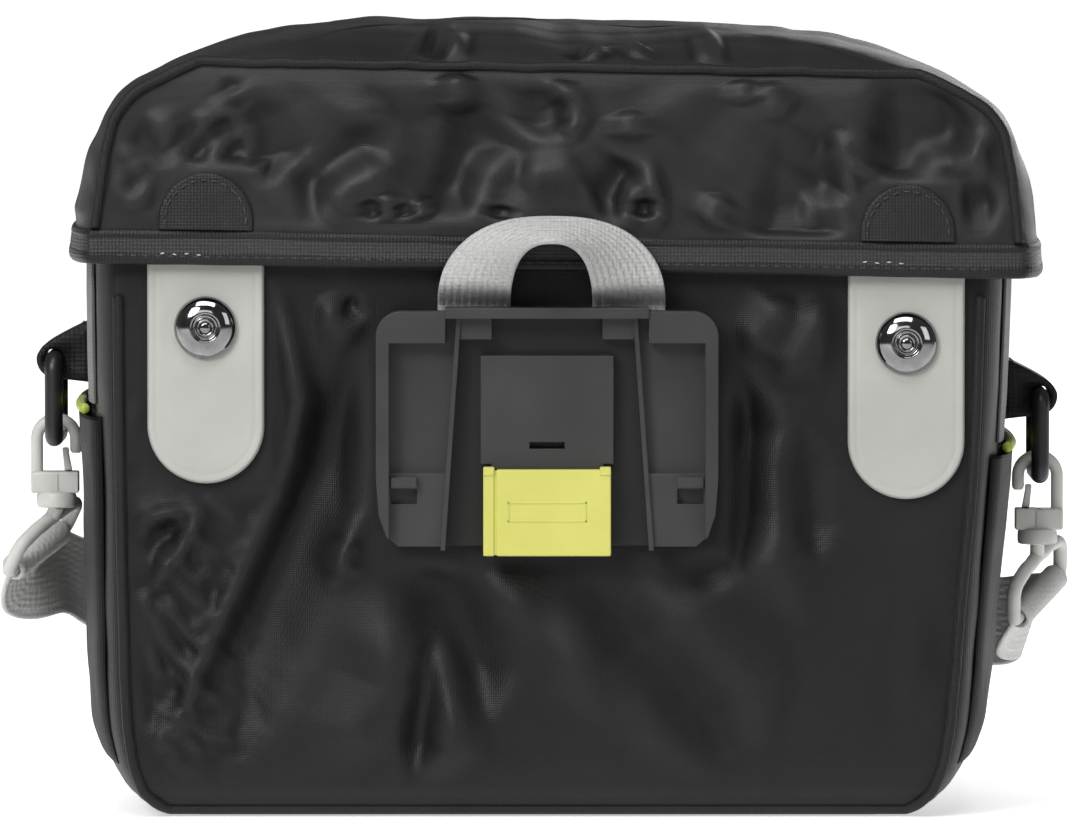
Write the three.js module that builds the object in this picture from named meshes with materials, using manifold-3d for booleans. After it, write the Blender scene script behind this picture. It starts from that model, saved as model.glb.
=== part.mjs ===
// Handlebar bag with a closed lid, a quick-release adapter plate on its rear face and a shoulder strap.
// Millimetres, +Z up. The rear face, towards the rider, looks along -Y. The origin is on the surface
// that the bag stands on, under the middle of the base.
import * as THREE from 'three';
import { mergeVertices } from 'three/addons/utils/BufferGeometryUtils.js';
import Module from 'manifold-3d';

const wasm = await Module();
wasm.setup();

// Clearance between two pieces that touch
const gap = 0.3;

// Body: half sizes at the hem of the lid, the cloth's thickness, and how far folds stay off what lies on it
const bodySeamHalf = 115;
const bodySideHalf = 126;
const bodyDepthHalf = 80;
const bodyWall = 2.2;
const foldMargin = 8;

// Lid: its hem above the floor, its height from hem to crown, half sizes at the hem, cloth, set
const hemHeight = 147.5;
const lidHeight = 66.5;
const lidSeamHalf = 123.5;
const lidSideHalf = 132.6;
const lidDepthHalf = 86.5;
const lidWall = 2.2;
const lidShift = 2.4;
const lidTilt = 0.95;

// The body's walls reach up under the lid and end on it
const bodyHeight = hemHeight + lidHeight;

// Binding tape on the hem, piping on the seams, patches over the straps
const bindingHeight = 9.3;
const bindingCloth = 0.9;
const pipingRadius = 1.4;
const pipingSink = 0.7;
const patchHalf = 12.7;
const patchHeight = 15.2;
const patchCloth = 1.1;

// Closing straps with their press studs
const strapHalf = 15.7;
const strapCloth = 2.2;
const strapSpacing = 188;
const strapDrop = 4.2;
const strapHang = 57.2;
const strapEnd = hemHeight - strapHang;
const strapTuck = 15;
const studRadius = 8.4;
const studHeight = 3.2;
const studAboveEnd = 42;

// Adapter plate: outline, and levels of its faces counted from its back
const plateHalf = 45.8;
const plateBelowHem = 10.5;
const plateTop = hemHeight - plateBelowHem;
const plateHeight = 63.2;
const plateCorner = 6.7;
const plateChinAcross = 5.9;
const plateChinUp = 18;
const rimWidth = 3.5;
const rimLevel = 12;
const barLevel = 12.8;
const barRise = 1;
const barHeight = 1.9;
const shelfWidth = 18.6;
const shelfHeight = 8.5;
const pocketLevel = 5.6;
const footLevel = 8;
const footHeight = 19.5;
const floorLevel = 3.2;
const dividerLevel = 9.4;
const dividerWidth = 1.3;
const channelTopHalf = 24.3;
const channelBottomHalf = 28.6;
const shoulderLevel = 8.6;
const shoulderInset = 1;
const shoulderHeight = 5.7;
const recessHalf = 14.8;
const recessHeight = 10.1;
const panelLevel = 7.4;
const panelHalf = 17.8;
const slotHalf = 4.7;
const slotHeight = 1.8;
const slotAboveButton = 5.4;
const catchWidth = 7;
const catchInset = 0.4;
const catchHeight = 2.6;
const catchDrop = 1;
const catchLevel = 10.6;
const notchHeight = 4;
const notchDrop = 4;

// Release button: a cap that slides up over the lower end of the plate's middle panel
const buttonHalf = 17.1;
const buttonHeight = 23.2;
const buttonCap = 3.4;
const buttonDrop = 2.4;
const buttonTravel = 4;
const cheekWidth = 1.8;
const cheekDepth = 2.2;
const buttonNub = 0.7;
const buttonNubWidth = 3;
const buttonNubHeight = 1.6;
const buttonNubProud = 0.4;
const grooveWidth = 0.6;
const grooveDepth = 0.5;
const grooveEnd = 2.4;

// Grab handle of webbing
const handleWidth = 19.6;
const handleCloth = 1.8;
const handleOuterHalf = 30.4;
const handleInnerHalf = 11.1;
const handleRise = 23.8;
const handleInnerRise = 18.2;
const handleForward = 8.2;
const handleShift = 1.2;
const handleTuck = 8.2;

// Side pockets with piped mouths, and the trim strips above them
const pocketBottom = 14;
const pocketBulgeTop = 4;
const pocketBulgeBottom = 1.8;
const pocketCloth = 1.2;
const pocketMouthLeft = 107.5;
const pocketMouthRight = 97;
const pocketReach = 0.9;
const stripWidth = 17;
const stripFromSeam = 15;
const stripCloth = 0.9;
const stripTuck = 16;

// Rings on webbing tabs at the sides
const tabWidth = 22;
const tabCloth = 2;
const tabRoot = 17.5;
const tabReach = 10.6;
const tabSunk = 4;
const tabBase = 0.4;
const leftTabHeight = 122.4;
const rightTabHeight = 112.2;
const ringHalfWidth = 15;
const ringHeight = 21.5;
const ringRod = 2.5;
const ringCorner = 3.2;

// Snap hooks and their swivel eyes
const hookRadius = 5.4;
const hookRod = 1.7;
const hookThroat = 9;
const shankLength = 6;
const shankHalf = 6.2;
const shankDepthHalf = 3.5;
const collarRadius = 5.5;
const collarLength = 4;
const noseLength = 4;
const gateWidth = 2.2;
const gateDepth = 2.8;
const gateOverlap = 1.5;
const pinRadius = 0.7;
const eyeLength = 17;
const eyeHalf = 14.9;
const eyeRod = 1.95;
const eyeCorner = 1.8;
const eyeNeck = 4;
const eyeStemSunk = 0.5;
const eyeStemUp = 1;
const stemRadius = 2;
const stemPlay = 1;

// Shoulder strap of webbing
const beltWidth = 25;
const beltCloth = 1.5;
const beltLoopHalf = 92;
const beltReach = 290;
const beltFloor = 0.2;
const beltLead = 9;
const beltTouchdown = 2.1;

// Mesh fineness
const rearSteps = 16;
const sideSteps = 8;
const frontSteps = 6;
const rodSides = 8;
const pipingSides = 6;

// How full the side walls bulge between the seams: 2 is a circle's fullness
const sideFullness = 2.4;

// Heights are shares of bodyHeight, the others of bodySeamHalf, bodySideHalf, bodyDepthHalf and bodySideHalf
const bodySections = [
  { height: 0, seam: 0.79, side: 0.745, depth: 0.86, lean: -0.02 },
  { height: 0.0094, seam: 0.858, side: 0.84, depth: 0.925, lean: -0.02 },
  { height: 0.0255, seam: 0.905, side: 0.885, depth: 0.965, lean: -0.02 },
  { height: 0.0491, seam: 0.93, side: 0.918, depth: 0.985, lean: -0.019 },
  { height: 0.0934, seam: 0.95, side: 0.95, depth: 0.995, lean: -0.018 },
  { height: 0.1586, seam: 0.962, side: 0.966, depth: 1, lean: -0.016 },
  { height: 0.2454, seam: 0.971, side: 0.972, depth: 1, lean: -0.012 },
  { height: 0.3209, seam: 0.979, side: 0.978, depth: 1, lean: -0.008 },
  { height: 0.3964, seam: 0.987, side: 0.983, depth: 1, lean: -0.003 },
  { height: 0.6041, seam: 0.998, side: 0.997, depth: 1, lean: 0.003 },
  { height: 0.7174, seam: 1, side: 1, depth: 1, lean: 0.005 },
  { height: 0.8212, seam: 0.99, side: 0.985, depth: 1, lean: 0.005 },
  { height: 1.01, seam: 0.98, side: 0.95, depth: 1, lean: 0.005 },
];

// Heights are shares of lidHeight, the others of lidSeamHalf, lidSideHalf and lidDepthHalf
const lidSections = [
  { height: 0, seam: 1, side: 1, depth: 1 },
  { height: 0.143, seam: 0.996, side: 0.992, depth: 0.994 },
  { height: 0.33, seam: 0.984, side: 0.976, depth: 0.988 },
  { height: 0.496, seam: 0.97, side: 0.952, depth: 0.983 },
  { height: 0.609, seam: 0.951, side: 0.926, depth: 0.978 },
  { height: 0.692, seam: 0.911, side: 0.89, depth: 0.971 },
  { height: 0.759, seam: 0.85, side: 0.843, depth: 0.96 },
  { height: 0.82, seam: 0.773, side: 0.788, depth: 0.936 },
  { height: 0.872, seam: 0.664, side: 0.718, depth: 0.879 },
  { height: 0.925, seam: 0.55, side: 0.623, depth: 0.763 },
  { height: 0.97, seam: 0.389, side: 0.503, depth: 0.578 },
  { height: 0.993, seam: 0.202, side: 0.315, depth: 0.324 },
  { height: 1, seam: 0.05, side: 0.08, depth: 0.08 },
];
// The section of lidSections that carries the seam along the top of the rear panel
const lidRidge = 7;
// The section of bodySections that carries the seam along the foot of the rear panel
const bodyFoot = 1;

// Folds of the rear panels. across, up, along and width are shares of the panel's half width,
// height, half width and half width; depth is a share of the cloth's thickness, out of the panel.
const bodyFolds = [
  { across: -0.62, up: 0.227, turn: 40, along: 0.32, width: 0.1, depth: 0.7 },
  { across: -0.42, up: 0.142, turn: 58, along: 0.3, width: 0.09, depth: -0.6 },
  { across: 0.3, up: 0.189, turn: 125, along: 0.28, width: 0.1, depth: 0.6 },
  { across: 0.62, up: 0.245, turn: 140, along: 0.3, width: 0.11, depth: -0.5 },
  { across: -0.85, up: 0.311, turn: 35, along: 0.18, width: 0.09, depth: -0.8 },
  { across: -0.9, up: 0.396, turn: 150, along: 0.14, width: 0.08, depth: 0.6 },
];
const lidFolds = [
  { across: -0.78, up: 0.6, turn: 115, along: 0.16, width: 0.08, depth: 0.7 },
  { across: -0.55, up: 0.5, turn: 60, along: 0.2, width: 0.08, depth: -0.8 },
  { across: -0.16, up: 0.5, turn: 65, along: 0.24, width: 0.09, depth: -1.1 },
  { across: 0.05, up: 0.62, turn: 80, along: 0.18, width: 0.08, depth: 0.6 },
  { across: 0.22, up: 0.42, turn: 70, along: 0.16, width: 0.08, depth: -0.7 },
  { across: 0.6, up: 0.55, turn: 30, along: 0.2, width: 0.09, depth: 0.7 },
];

// How deep the folds lie, out of a rear panel, at a place on it
function foldDepth(folds, x, z, halfWidth, height, cloth) {
  let depth = 0;
  for (const fold of folds) {
    const angle = THREE.MathUtils.degToRad(fold.turn);
    const dx = x - fold.across * halfWidth;
    const dz = z - fold.up * height;
    const along = (dx * Math.cos(angle) + dz * Math.sin(angle)) / (fold.along * halfWidth);
    const aside = (dz * Math.cos(angle) - dx * Math.sin(angle)) / (fold.width * halfWidth);
    depth += fold.depth * cloth * Math.exp(-along * along - aside * aside);
  }
  return depth;
}

// A closed mesh through rings of equally many points. A closed skin joins its last ring to its first,
// an open one has a cap at both ends, cut into triangles from the flat outline given.
function skin(rings, flatOutline, closed = false) {
  const count = rings[0].length;
  const positions = rings.flat().flatMap((point) => point.toArray());
  const index = [];
  const bands = closed ? rings.length : rings.length - 1;
  for (let band = 0; band < bands; band += 1) {
    const here = band * count;
    const next = ((band + 1) % rings.length) * count;
    for (let i = 0; i < count; i += 1) {
      const j = (i + 1) % count;
      index.push(here + i, here + j, next + j, here + i, next + j, next + i);
    }
  }
  if (!closed) {
    const last = (rings.length - 1) * count;
    const ends = flatOutline ?? rings[0].map((point) => new THREE.Vector2(point.x, point.y));
    const anticlockwise = !THREE.ShapeUtils.isClockWise(ends);
    for (const [a, b, c] of THREE.ShapeUtils.triangulateShape(ends, [])) {
      const face = anticlockwise ? [a, b, c] : [a, c, b];
      index.push(face[0], face[2], face[1]);
      index.push(last + face[0], last + face[1], last + face[2]);
    }
  }
  const geometry = new THREE.BufferGeometry();
  geometry.setAttribute('position', new THREE.Float32BufferAttribute(positions, 3));
  geometry.setIndex(index);
  return geometry;
}

// Six times the signed volume inside a mesh
function signedVolume(geometry) {
  const place = geometry.getAttribute('position');
  const corners = [new THREE.Vector3(), new THREE.Vector3(), new THREE.Vector3()];
  let sum = 0;
  for (let i = 0; i < geometry.index.count; i += 3) {
    corners.forEach((corner, k) => corner.fromBufferAttribute(place, geometry.index.getX(i + k)));
    sum += corners[0].dot(corners[1].clone().cross(corners[2]));
  }
  return sum;
}

// A solid from any closed geometry, with its faces pointing out
function solid(geometry, matrix) {
  const bare = geometry.clone();
  bare.deleteAttribute('normal');
  bare.deleteAttribute('uv');
  if (matrix) {
    bare.applyMatrix4(matrix);
  }
  const merged = mergeVertices(bare, 1e-4);
  const triangles = Array.from(merged.index.array);
  if (signedVolume(merged) < 0) {
    for (let i = 0; i < triangles.length; i += 3) {
      [triangles[i], triangles[i + 1]] = [triangles[i + 1], triangles[i]];
    }
  }
  return new wasm.Manifold(new wasm.Mesh({
    numProp: 3,
    vertProperties: Float32Array.from(merged.getAttribute('position').array),
    triVerts: Uint32Array.from(triangles),
  }));
}

function joined(solids) {
  return solids.reduce((whole, piece) => whole.add(piece));
}

// A named mesh from a solid
function piece(name, shape, material) {
  const mesh = shape.getMesh();
  const geometry = new THREE.BufferGeometry();
  geometry.setAttribute('position', new THREE.Float32BufferAttribute(mesh.vertProperties, 3));
  geometry.setIndex(new THREE.Uint32BufferAttribute(mesh.triVerts, 1));
  geometry.computeVertexNormals();
  const result = new THREE.Mesh(geometry, material);
  result.name = name;
  return result;
}

function finish(color, roughness, metalness = 0) {
  return new THREE.MeshStandardMaterial({ color, roughness, metalness });
}

const blackCloth = () => finish(0x26272a, 0.6);
const blackTape = () => finish(0x202123, 0.85);
const greyTape = () => finish(0x4a4b48, 0.8);
const paleSynthetic = () => finish(0xbdbdb5, 0.55);
const paleWebbing = () => finish(0xb9b9b6, 0.85);
const strapWebbing = () => finish(0x6d6d6c, 0.85);
const darkPlastic = () => finish(0x454647, 0.5);
const blackPlastic = () => finish(0x1c1c1d, 0.45);
const palePlastic = () => finish(0xc4c4bf, 0.4);
const yellowPlastic = () => finish(0xdedc78, 0.45);
const limePiping = () => finish(0xb9c43c, 0.6);
const chrome = () => finish(0xc9c9cb, 0.15, 1);

function box(x0, x1, y0, y1, z0, z1) {
  const geometry = new THREE.BoxGeometry(x1 - x0, y1 - y0, z1 - z0);
  return solid(geometry.translate((x0 + x1) / 2, (y0 + y1) / 2, (z0 + z1) / 2));
}

// An outline in X and Z, extruded from y0 to y1
function slab(shape, y0, y1) {
  const settings = { depth: y1 - y0, bevelEnabled: false, curveSegments: 6 };
  const geometry = new THREE.ExtrudeGeometry(shape, settings);
  const upright = new THREE.Matrix4().makeBasis(
    new THREE.Vector3(1, 0, 0),
    new THREE.Vector3(0, 0, 1),
    new THREE.Vector3(0, -1, 0),
  );
  upright.setPosition(0, y1, 0);
  return solid(geometry, upright);
}

function polygon(points) {
  return new THREE.Shape(points.map(([x, z]) => new THREE.Vector2(x, z)));
}

// A rod of even section along frames, each with a point and the two directions of its section
function rodAlong(frames, radius, closed = false, sides = rodSides) {
  const flat = [];
  for (let i = 0; i < sides; i += 1) {
    const angle = (i / sides) * 2 * Math.PI;
    flat.push(new THREE.Vector2(radius * Math.cos(angle), radius * Math.sin(angle)));
  }
  const rings = frames.map((frame) => flat.map((spot) => frame.point.clone()
    .addScaledVector(frame.out, spot.x)
    .addScaledVector(frame.side, spot.y)));
  return skin(rings, flat, closed);
}

function smooth(low, high, value) {
  return THREE.MathUtils.smoothstep(value, low, high);
}

// The plan outline of the body or the lid, as a ring of points: rear edge, right side, front, left side
function planRing(seam, side, depth, centre, height, rearFold) {
  const ring = [];
  for (let i = 0; i < rearSteps; i += 1) {
    const x = THREE.MathUtils.lerp(-seam, seam, i / rearSteps);
    const fold = i > 0 ? rearFold(x, height) : 0;
    ring.push(new THREE.Vector3(centre + x, -depth - fold, height));
  }
  for (const hand of [1, -1]) {
    for (let i = 0; i < sideSteps; i += 1) {
      const share = -Math.cos((i / sideSteps) * Math.PI);
      const bulge = (1 - Math.abs(share) ** sideFullness) ** (1 / sideFullness);
      const across = seam + (side - seam) * bulge;
      ring.push(new THREE.Vector3(centre + hand * across, hand * share * depth, height));
    }
    if (hand > 0) {
      for (let i = 0; i < frontSteps; i += 1) {
        const across = THREE.MathUtils.lerp(seam, -seam, i / frontSteps);
        ring.push(new THREE.Vector3(centre + across, depth, height));
      }
    }
  }
  return ring;
}

// A section between two rows of a table
function sectionAt(sections, share) {
  const upper = sections.findIndex((section) => section.height >= share);
  const after = sections[Math.max(upper, 1)];
  const before = sections[Math.max(upper, 1) - 1];
  const mix = (share - before.height) / (after.height - before.height);
  const blend = (key) => THREE.MathUtils.lerp(before[key], after[key], mix);
  return {
    height: share,
    seam: blend('seam'),
    side: blend('side'),
    depth: blend('depth'),
    lean: blend('lean'),
  };
}

// Half sizes of the body at one height
function bodyAt(height) {
  const section = sectionAt(bodySections, height / bodyHeight);
  return {
    seam: section.seam * bodySeamHalf,
    side: section.side * bodySideHalf,
    depth: section.depth * bodyDepthHalf,
    centre: section.lean * bodySideHalf,
  };
}

// The rear panel stays flat where the straps and the plate lie, and a little way round them
function bodyFold(x, z) {
  const besidePlate = smooth(foldMargin, 2 * foldMargin, Math.abs(x) - plateHalf);
  const belowPlate = smooth(foldMargin, 2 * foldMargin, plateTop - plateHeight - z);
  const belowStraps = smooth(foldMargin, 2 * foldMargin, strapEnd - strapDrop - z);
  const fromStrap = Math.abs(Math.abs(x) - strapSpacing / 2) - strapHalf;
  const outsideStraps = smooth(foldMargin, 2 * foldMargin, fromStrap);
  const free = Math.max(besidePlate, belowPlate) * Math.max(belowStraps, outsideStraps);
  return free * foldDepth(bodyFolds, x, z, bodySeamHalf, bodyHeight, bodyWall);
}

function bodySolid(offset, rise = 0) {
  const rings = bodySections.map((row) => {
    const atBase = 1 - smooth(0, bodySections[4].height, row.height);
    const height = row.height * bodyHeight - offset * atBase;
    return planRing(
      row.seam * bodySeamHalf + offset,
      row.side * bodySideHalf + offset,
      row.depth * bodyDepthHalf + offset,
      row.lean * bodySideHalf,
      height,
      bodyFold,
    );
  });
  if (rise > 0) {
    rings.push(rings.at(-1).map((point) => point.clone().setZ(point.z + rise)));
  }
  return solid(skin(rings));
}

function lidFold(x, z) {
  const insideEdges = smooth(0, lidHeight * 0.15, z - bindingHeight) * smooth(0, 0.1, 0.8 - z / lidHeight);
  return insideEdges * foldDepth(lidFolds, x, z, lidSeamHalf, lidHeight, lidWall);
}

// The lid's outer form, moved out by an offset, from its hem up. With a foot it also reaches that far down.
function lidGeometry(offset, foot = 0) {
  const rings = lidSections.map((row) => planRing(
    row.seam * lidSeamHalf + offset,
    row.side * lidSideHalf + offset,
    row.depth * lidDepthHalf + offset,
    0,
    row.height * lidHeight + offset * smooth(0.5, 0.85, row.height),
    lidFold,
  ));
  if (foot > 0) {
    rings.unshift(rings[0].map((point) => point.clone().setZ(-foot)));
  }
  return skin(rings);
}

// The lid's own frame: on its hem, shifted and turned a little as the soft lid sits on the bag
const lidGroup = new THREE.Group();
lidGroup.position.set(lidShift, 0, hemHeight);
lidGroup.rotation.y = THREE.MathUtils.degToRad(lidTilt);
lidGroup.updateMatrix();

const bag = new THREE.Group();
bag.add(lidGroup);

// The body: a cloth box, open at the top, whose rim meets the lid from below
function makeBody() {
  const underLid = solid(lidGeometry(-lidWall - gap, 2 * hemHeight), lidGroup.matrix);
  return bodySolid(0).intersect(underLid).subtract(bodySolid(-bodyWall, bodyHeight));
}
bag.add(piece('body_shell', makeBody(), blackCloth()));

// The lid: a hollow cap whose lower edge sits in the binding tape
const lidReach = lidSideHalf * 2;
function makeLid() {
  const belowBinding = box(-lidReach, lidReach, -lidReach, lidReach, -lidReach, bindingHeight + gap);
  return solid(lidGeometry(0)).subtract(solid(lidGeometry(-lidWall, hemHeight))).subtract(belowBinding);
}
lidGroup.add(piece('lid_shell', makeLid(), blackCloth()));

function makeBinding() {
  const band = box(-lidReach, lidReach, -lidReach, lidReach, 0, bindingHeight);
  const outside = solid(lidGeometry(bindingCloth, hemHeight));
  const inside = solid(lidGeometry(-lidWall - bindingCloth, hemHeight));
  return outside.intersect(band).subtract(inside);
}
lidGroup.add(piece('lid_hem_binding', makeBinding(), blackTape()));

// Piping: a rod along corner points of the sections, half sunk in the seam
function pipingCurve(points) {
  return new THREE.CatmullRomCurve3(points, false, 'catmullrom', 0.3);
}

function pipingSolid(curve, steps) {
  const turns = curve.computeFrenetFrames(steps, false);
  const frames = curve.getSpacedPoints(steps).map((point, i) => ({
    point, out: turns.normals[i], side: turns.binormals[i],
  }));
  return solid(rodAlong(frames, pipingRadius, false, pipingSides));
}

// Seam points up one side, along a row of the table, and down the other side
function seamPoints(rows, width, depth, height, centre) {
  const half = rows.map((row) => new THREE.Vector3(
    row.seam * width + pipingSink, -row.depth * depth - pipingSink, row.height * height,
  ));
  const left = half.map((point, i) => new THREE.Vector3(centre(rows[i]) - point.x, point.y, point.z));
  const right = half.map((point, i) => new THREE.Vector3(centre(rows[i]) + point.x, point.y, point.z));
  const middle = left.at(-1).clone().lerp(right.at(-1), 0.5);
  return [...left, middle, ...right.reverse()];
}

function makeLidPiping() {
  const start = sectionAt(lidSections, (bindingHeight + gap + pipingRadius) / lidHeight);
  const rows = [start, ...lidSections.slice(2, lidRidge + 1)];
  const points = seamPoints(rows, lidSeamHalf, lidDepthHalf, lidHeight, () => 0);
  return pipingSolid(pipingCurve(points), 36).subtract(solid(lidGeometry(gap)));
}
lidGroup.add(piece('lid_rear_piping', makeLidPiping(), blackTape()));

function makeBodyPiping() {
  const start = sectionAt(bodySections, (hemHeight - lidHeight * 0.1) / bodyHeight);
  const rows = [start, ...bodySections.slice(bodyFoot, 10).reverse()];
  const points = seamPoints(rows, bodySeamHalf, bodyDepthHalf, bodyHeight, (row) => row.lean * bodySideHalf);
  return pipingSolid(pipingCurve(points), 40).subtract(bodySolid(gap));
}
bag.add(piece('body_rear_piping', makeBodyPiping(), blackTape()));

// An upright strip with one half-round end, as an outline in X and Z
function tongue(centre, half, flatEnd, roundEnd) {
  const up = Math.sign(roundEnd - flatEnd);
  const shape = new THREE.Shape();
  shape.moveTo(centre - half, flatEnd);
  shape.lineTo(centre - half, roundEnd - up * half);
  shape.absarc(centre, roundEnd - up * half, half, Math.PI, 0, up > 0);
  shape.lineTo(centre + half, flatEnd);
  return shape;
}

// Cloth patches on the lid's rear panel, over the places where the straps are sewn in
const lidPatch = solid(lidGeometry(gap + patchCloth)).subtract(solid(lidGeometry(gap)));
function makePatch(hand) {
  const bottom = bindingHeight + gap;
  const outline = tongue(hand * strapSpacing / 2, patchHalf, bottom, bottom + patchHeight);
  return lidPatch.intersect(slab(outline, -lidDepthHalf * 1.2, -lidDepthHalf * 0.8));
}

// Closing straps on the body's rear panel, and the press studs in them
const strapBack = -bodyDepthHalf - gap;
const strapFront = strapBack - strapCloth;
function makeStrap(centre, end) {
  return slab(tongue(centre, strapHalf, hemHeight + strapTuck, end), strapFront, strapBack);
}

// Radius and height of the stud's face as shares of studRadius and studHeight
const studProfile = [
  [0, 0], [0.96, 0], [1, 0.15], [0.93, 0.5], [0.75, 0.8], [0.55, 0.97],
  [0.44, 1], [0.4, 0.7], [0.26, 0.6], [0.22, 0.85], [0.1, 1.02], [0, 1.05],
];
function makeStud(centre, height) {
  const profile = studProfile.map(([across, rise]) => (
    new THREE.Vector2(across * studRadius, rise * studHeight)
  ));
  const geometry = new THREE.LatheGeometry(profile, 18).rotateX(Math.PI);
  return solid(geometry.translate(centre, strapFront - gap, height));
}

for (const [side, hand] of [['left', -1], ['right', 1]]) {
  const centre = lidShift + hand * strapSpacing / 2;
  const end = strapEnd - hand * strapDrop / 2 - strapDrop / 2;
  lidGroup.add(piece(`strap_patch_${side}`, makePatch(hand), blackTape()));
  bag.add(piece(`closing_strap_${side}`, makeStrap(centre, end), paleSynthetic()));
  bag.add(piece(`press_stud_${side}`, makeStud(centre, end + studAboveEnd), chrome()));
}

// Adapter plate. Its faces are levels above its back, which lies on the rear panel.
const plateBack = -bodyDepthHalf - gap;
const plateBottom = plateTop - plateHeight;
const buttonBottom = plateBottom - buttonDrop;
const buttonTop = buttonBottom + buttonHeight;
const legLeft = handleShift - (handleOuterHalf + handleInnerHalf) / 2;
const legRight = handleShift + (handleOuterHalf + handleInnerHalf) / 2;

function plateSlab(shape, low, high) {
  return slab(shape, plateBack - high, plateBack - low);
}

function plateBlock(x0, x1, z0, z1, low, high) {
  return box(x0, x1, plateBack - high, plateBack - low, z0, z1);
}

// A block between two distances from the middle, on the left or the right
function plateSide(hand, inner, outer, z0, z1, low, high) {
  return hand > 0
    ? plateBlock(inner, outer, z0, z1, low, high)
    : plateBlock(-outer, -inner, z0, z1, low, high);
}

// The lower corners draw in: across and up are shares of plateChinAcross and plateChinUp
const chinShares = [[1, 0], [0.47, 0.155], [0.13, 0.48], [0, 1]];
function plateOutline() {
  const shape = new THREE.Shape();
  const chin = chinShares.map(([across, up]) => (
    [plateHalf - across * plateChinAcross, plateBottom + up * plateChinUp]
  ));
  shape.moveTo(-chin[0][0], chin[0][1]);
  chin.forEach(([x, z]) => shape.lineTo(x, z));
  shape.lineTo(plateHalf, plateTop - plateCorner);
  shape.absarc(plateHalf - plateCorner, plateTop - plateCorner, plateCorner, 0, Math.PI / 2, false);
  shape.lineTo(-plateHalf + plateCorner, plateTop);
  shape.absarc(-plateHalf + plateCorner, plateTop - plateCorner, plateCorner, Math.PI / 2, Math.PI, false);
  chin.reverse().forEach(([x, z]) => shape.lineTo(-x, z));
  return shape;
}

function makePlate() {
  const over = 1;
  const front = barLevel + over;
  const footTop = plateBottom + footHeight;
  const shelfBottom = plateTop - shelfHeight;
  const shelfInner = plateHalf - shelfWidth;
  const barBottom = plateTop - barHeight;
  const channelSide = (inset) => polygon([
    [-channelTopHalf + inset, barBottom],
    [channelTopHalf - inset, barBottom],
    [channelBottomHalf - inset, plateBottom - over],
    [-channelBottomHalf + inset, plateBottom - over],
  ]);
  let plate = plateSlab(plateOutline(), 0, rimLevel);
  for (const hand of [-1, 1]) {
    // the recess beside the channel, open towards the channel, and the lower foot below it
    const inner = channelTopHalf - dividerWidth;
    const recess = plateSide(hand, inner, plateHalf - rimWidth, footTop, shelfBottom, pocketLevel, front);
    const foot = plateSide(hand, inner, plateHalf - rimWidth, plateBottom - over, footTop, footLevel, front);
    const besideShelf = plateSide(hand, inner, shelfInner, shelfBottom - gap, barBottom, pocketLevel, front);
    // a small catch under the recess, and the notch below the catch
    const outer = plateHalf - rimWidth - catchInset;
    const catchTop = footTop - catchDrop;
    const notchTop = footTop - notchDrop;
    const notchBottom = notchTop - notchHeight;
    const notch = plateSide(hand, outer - catchWidth, outer, notchBottom, notchTop, pocketLevel, front);
    const latch = plateSide(
      hand, outer - catchWidth, outer, catchTop - catchHeight, catchTop, footLevel - over, catchLevel,
    );
    plate = plate.subtract(joined([recess, foot, besideShelf, notch])).add(latch);
  }
  plate = plate.add(plateSlab(channelSide(0), pocketLevel - over, dividerLevel));
  plate = plate.subtract(plateSlab(channelSide(dividerWidth), floorLevel, front));
  // shoulders under the top bar, the middle panel and its slot
  const shoulderHalf = channelTopHalf - shoulderInset;
  const shoulders = plateBlock(
    -shoulderHalf, shoulderHalf, barBottom - shoulderHeight, barBottom + over,
    floorLevel - over, shoulderLevel,
  );
  const panelTop = barBottom - recessHeight;
  const recess = plateBlock(-recessHalf, recessHalf, panelTop, barBottom + over, floorLevel, front);
  const narrowTop = buttonTop - buttonNubWidth + buttonTravel + gap;
  const panel = plateBlock(-panelHalf, panelHalf, narrowTop, panelTop, floorLevel - over, panelLevel);
  const tongueHalf = buttonHalf - cheekWidth - gap;
  const panelTongue = plateBlock(
    -tongueHalf, tongueHalf, plateBottom, narrowTop + over, floorLevel - over, panelLevel,
  );
  const slotBottom = buttonTop + slotAboveButton;
  const slot = plateBlock(-slotHalf, slotHalf, slotBottom, slotBottom + slotHeight, floorLevel, front);
  const topBar = plateBlock(-shelfInner, shelfInner, barBottom, plateTop + barRise, 0, barLevel);
  plate = joined([plate, shoulders.subtract(recess), panel, panelTongue, topBar]).subtract(slot);
  // room behind the top edge for the legs of the handle
  for (const leg of [legLeft, legRight]) {
    const half = handleWidth / 2 + gap;
    plate = plate.subtract(plateBlock(
      leg - half, leg + half, plateTop - handleTuck - gap, plateTop + barRise + over,
      -over, handleCloth + 2 * gap,
    ));
  }
  return plate;
}
bag.add(piece('adapter_plate', makePlate(), darkPlastic()));

// The button: a cap over the panel with a cheek down each side of it, two nubs and a fine groove
function makeButton() {
  const face = panelLevel + gap;
  const front = face + buttonCap;
  const parts = [plateBlock(-buttonHalf, buttonHalf, buttonBottom, buttonTop, face, front)];
  for (const hand of [-1, 1]) {
    parts.push(plateSide(
      hand, buttonHalf - cheekWidth, buttonHalf, buttonBottom, buttonTop - buttonNubWidth,
      face - cheekDepth, front,
    ));
    parts.push(plateSide(
      hand, buttonHalf - buttonNubWidth, buttonHalf, buttonTop - buttonNubHeight, buttonTop + buttonNub,
      face, front + buttonNubProud,
    ));
  }
  const grooveAt = -buttonHalf + buttonNubWidth;
  const groove = plateBlock(
    grooveAt, grooveAt + grooveWidth, buttonBottom - 1, buttonTop - grooveEnd,
    front - grooveDepth, front + 1,
  );
  return joined(parts).subtract(groove);
}
bag.add(piece('release_button', makeButton(), yellowPlastic()));

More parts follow.
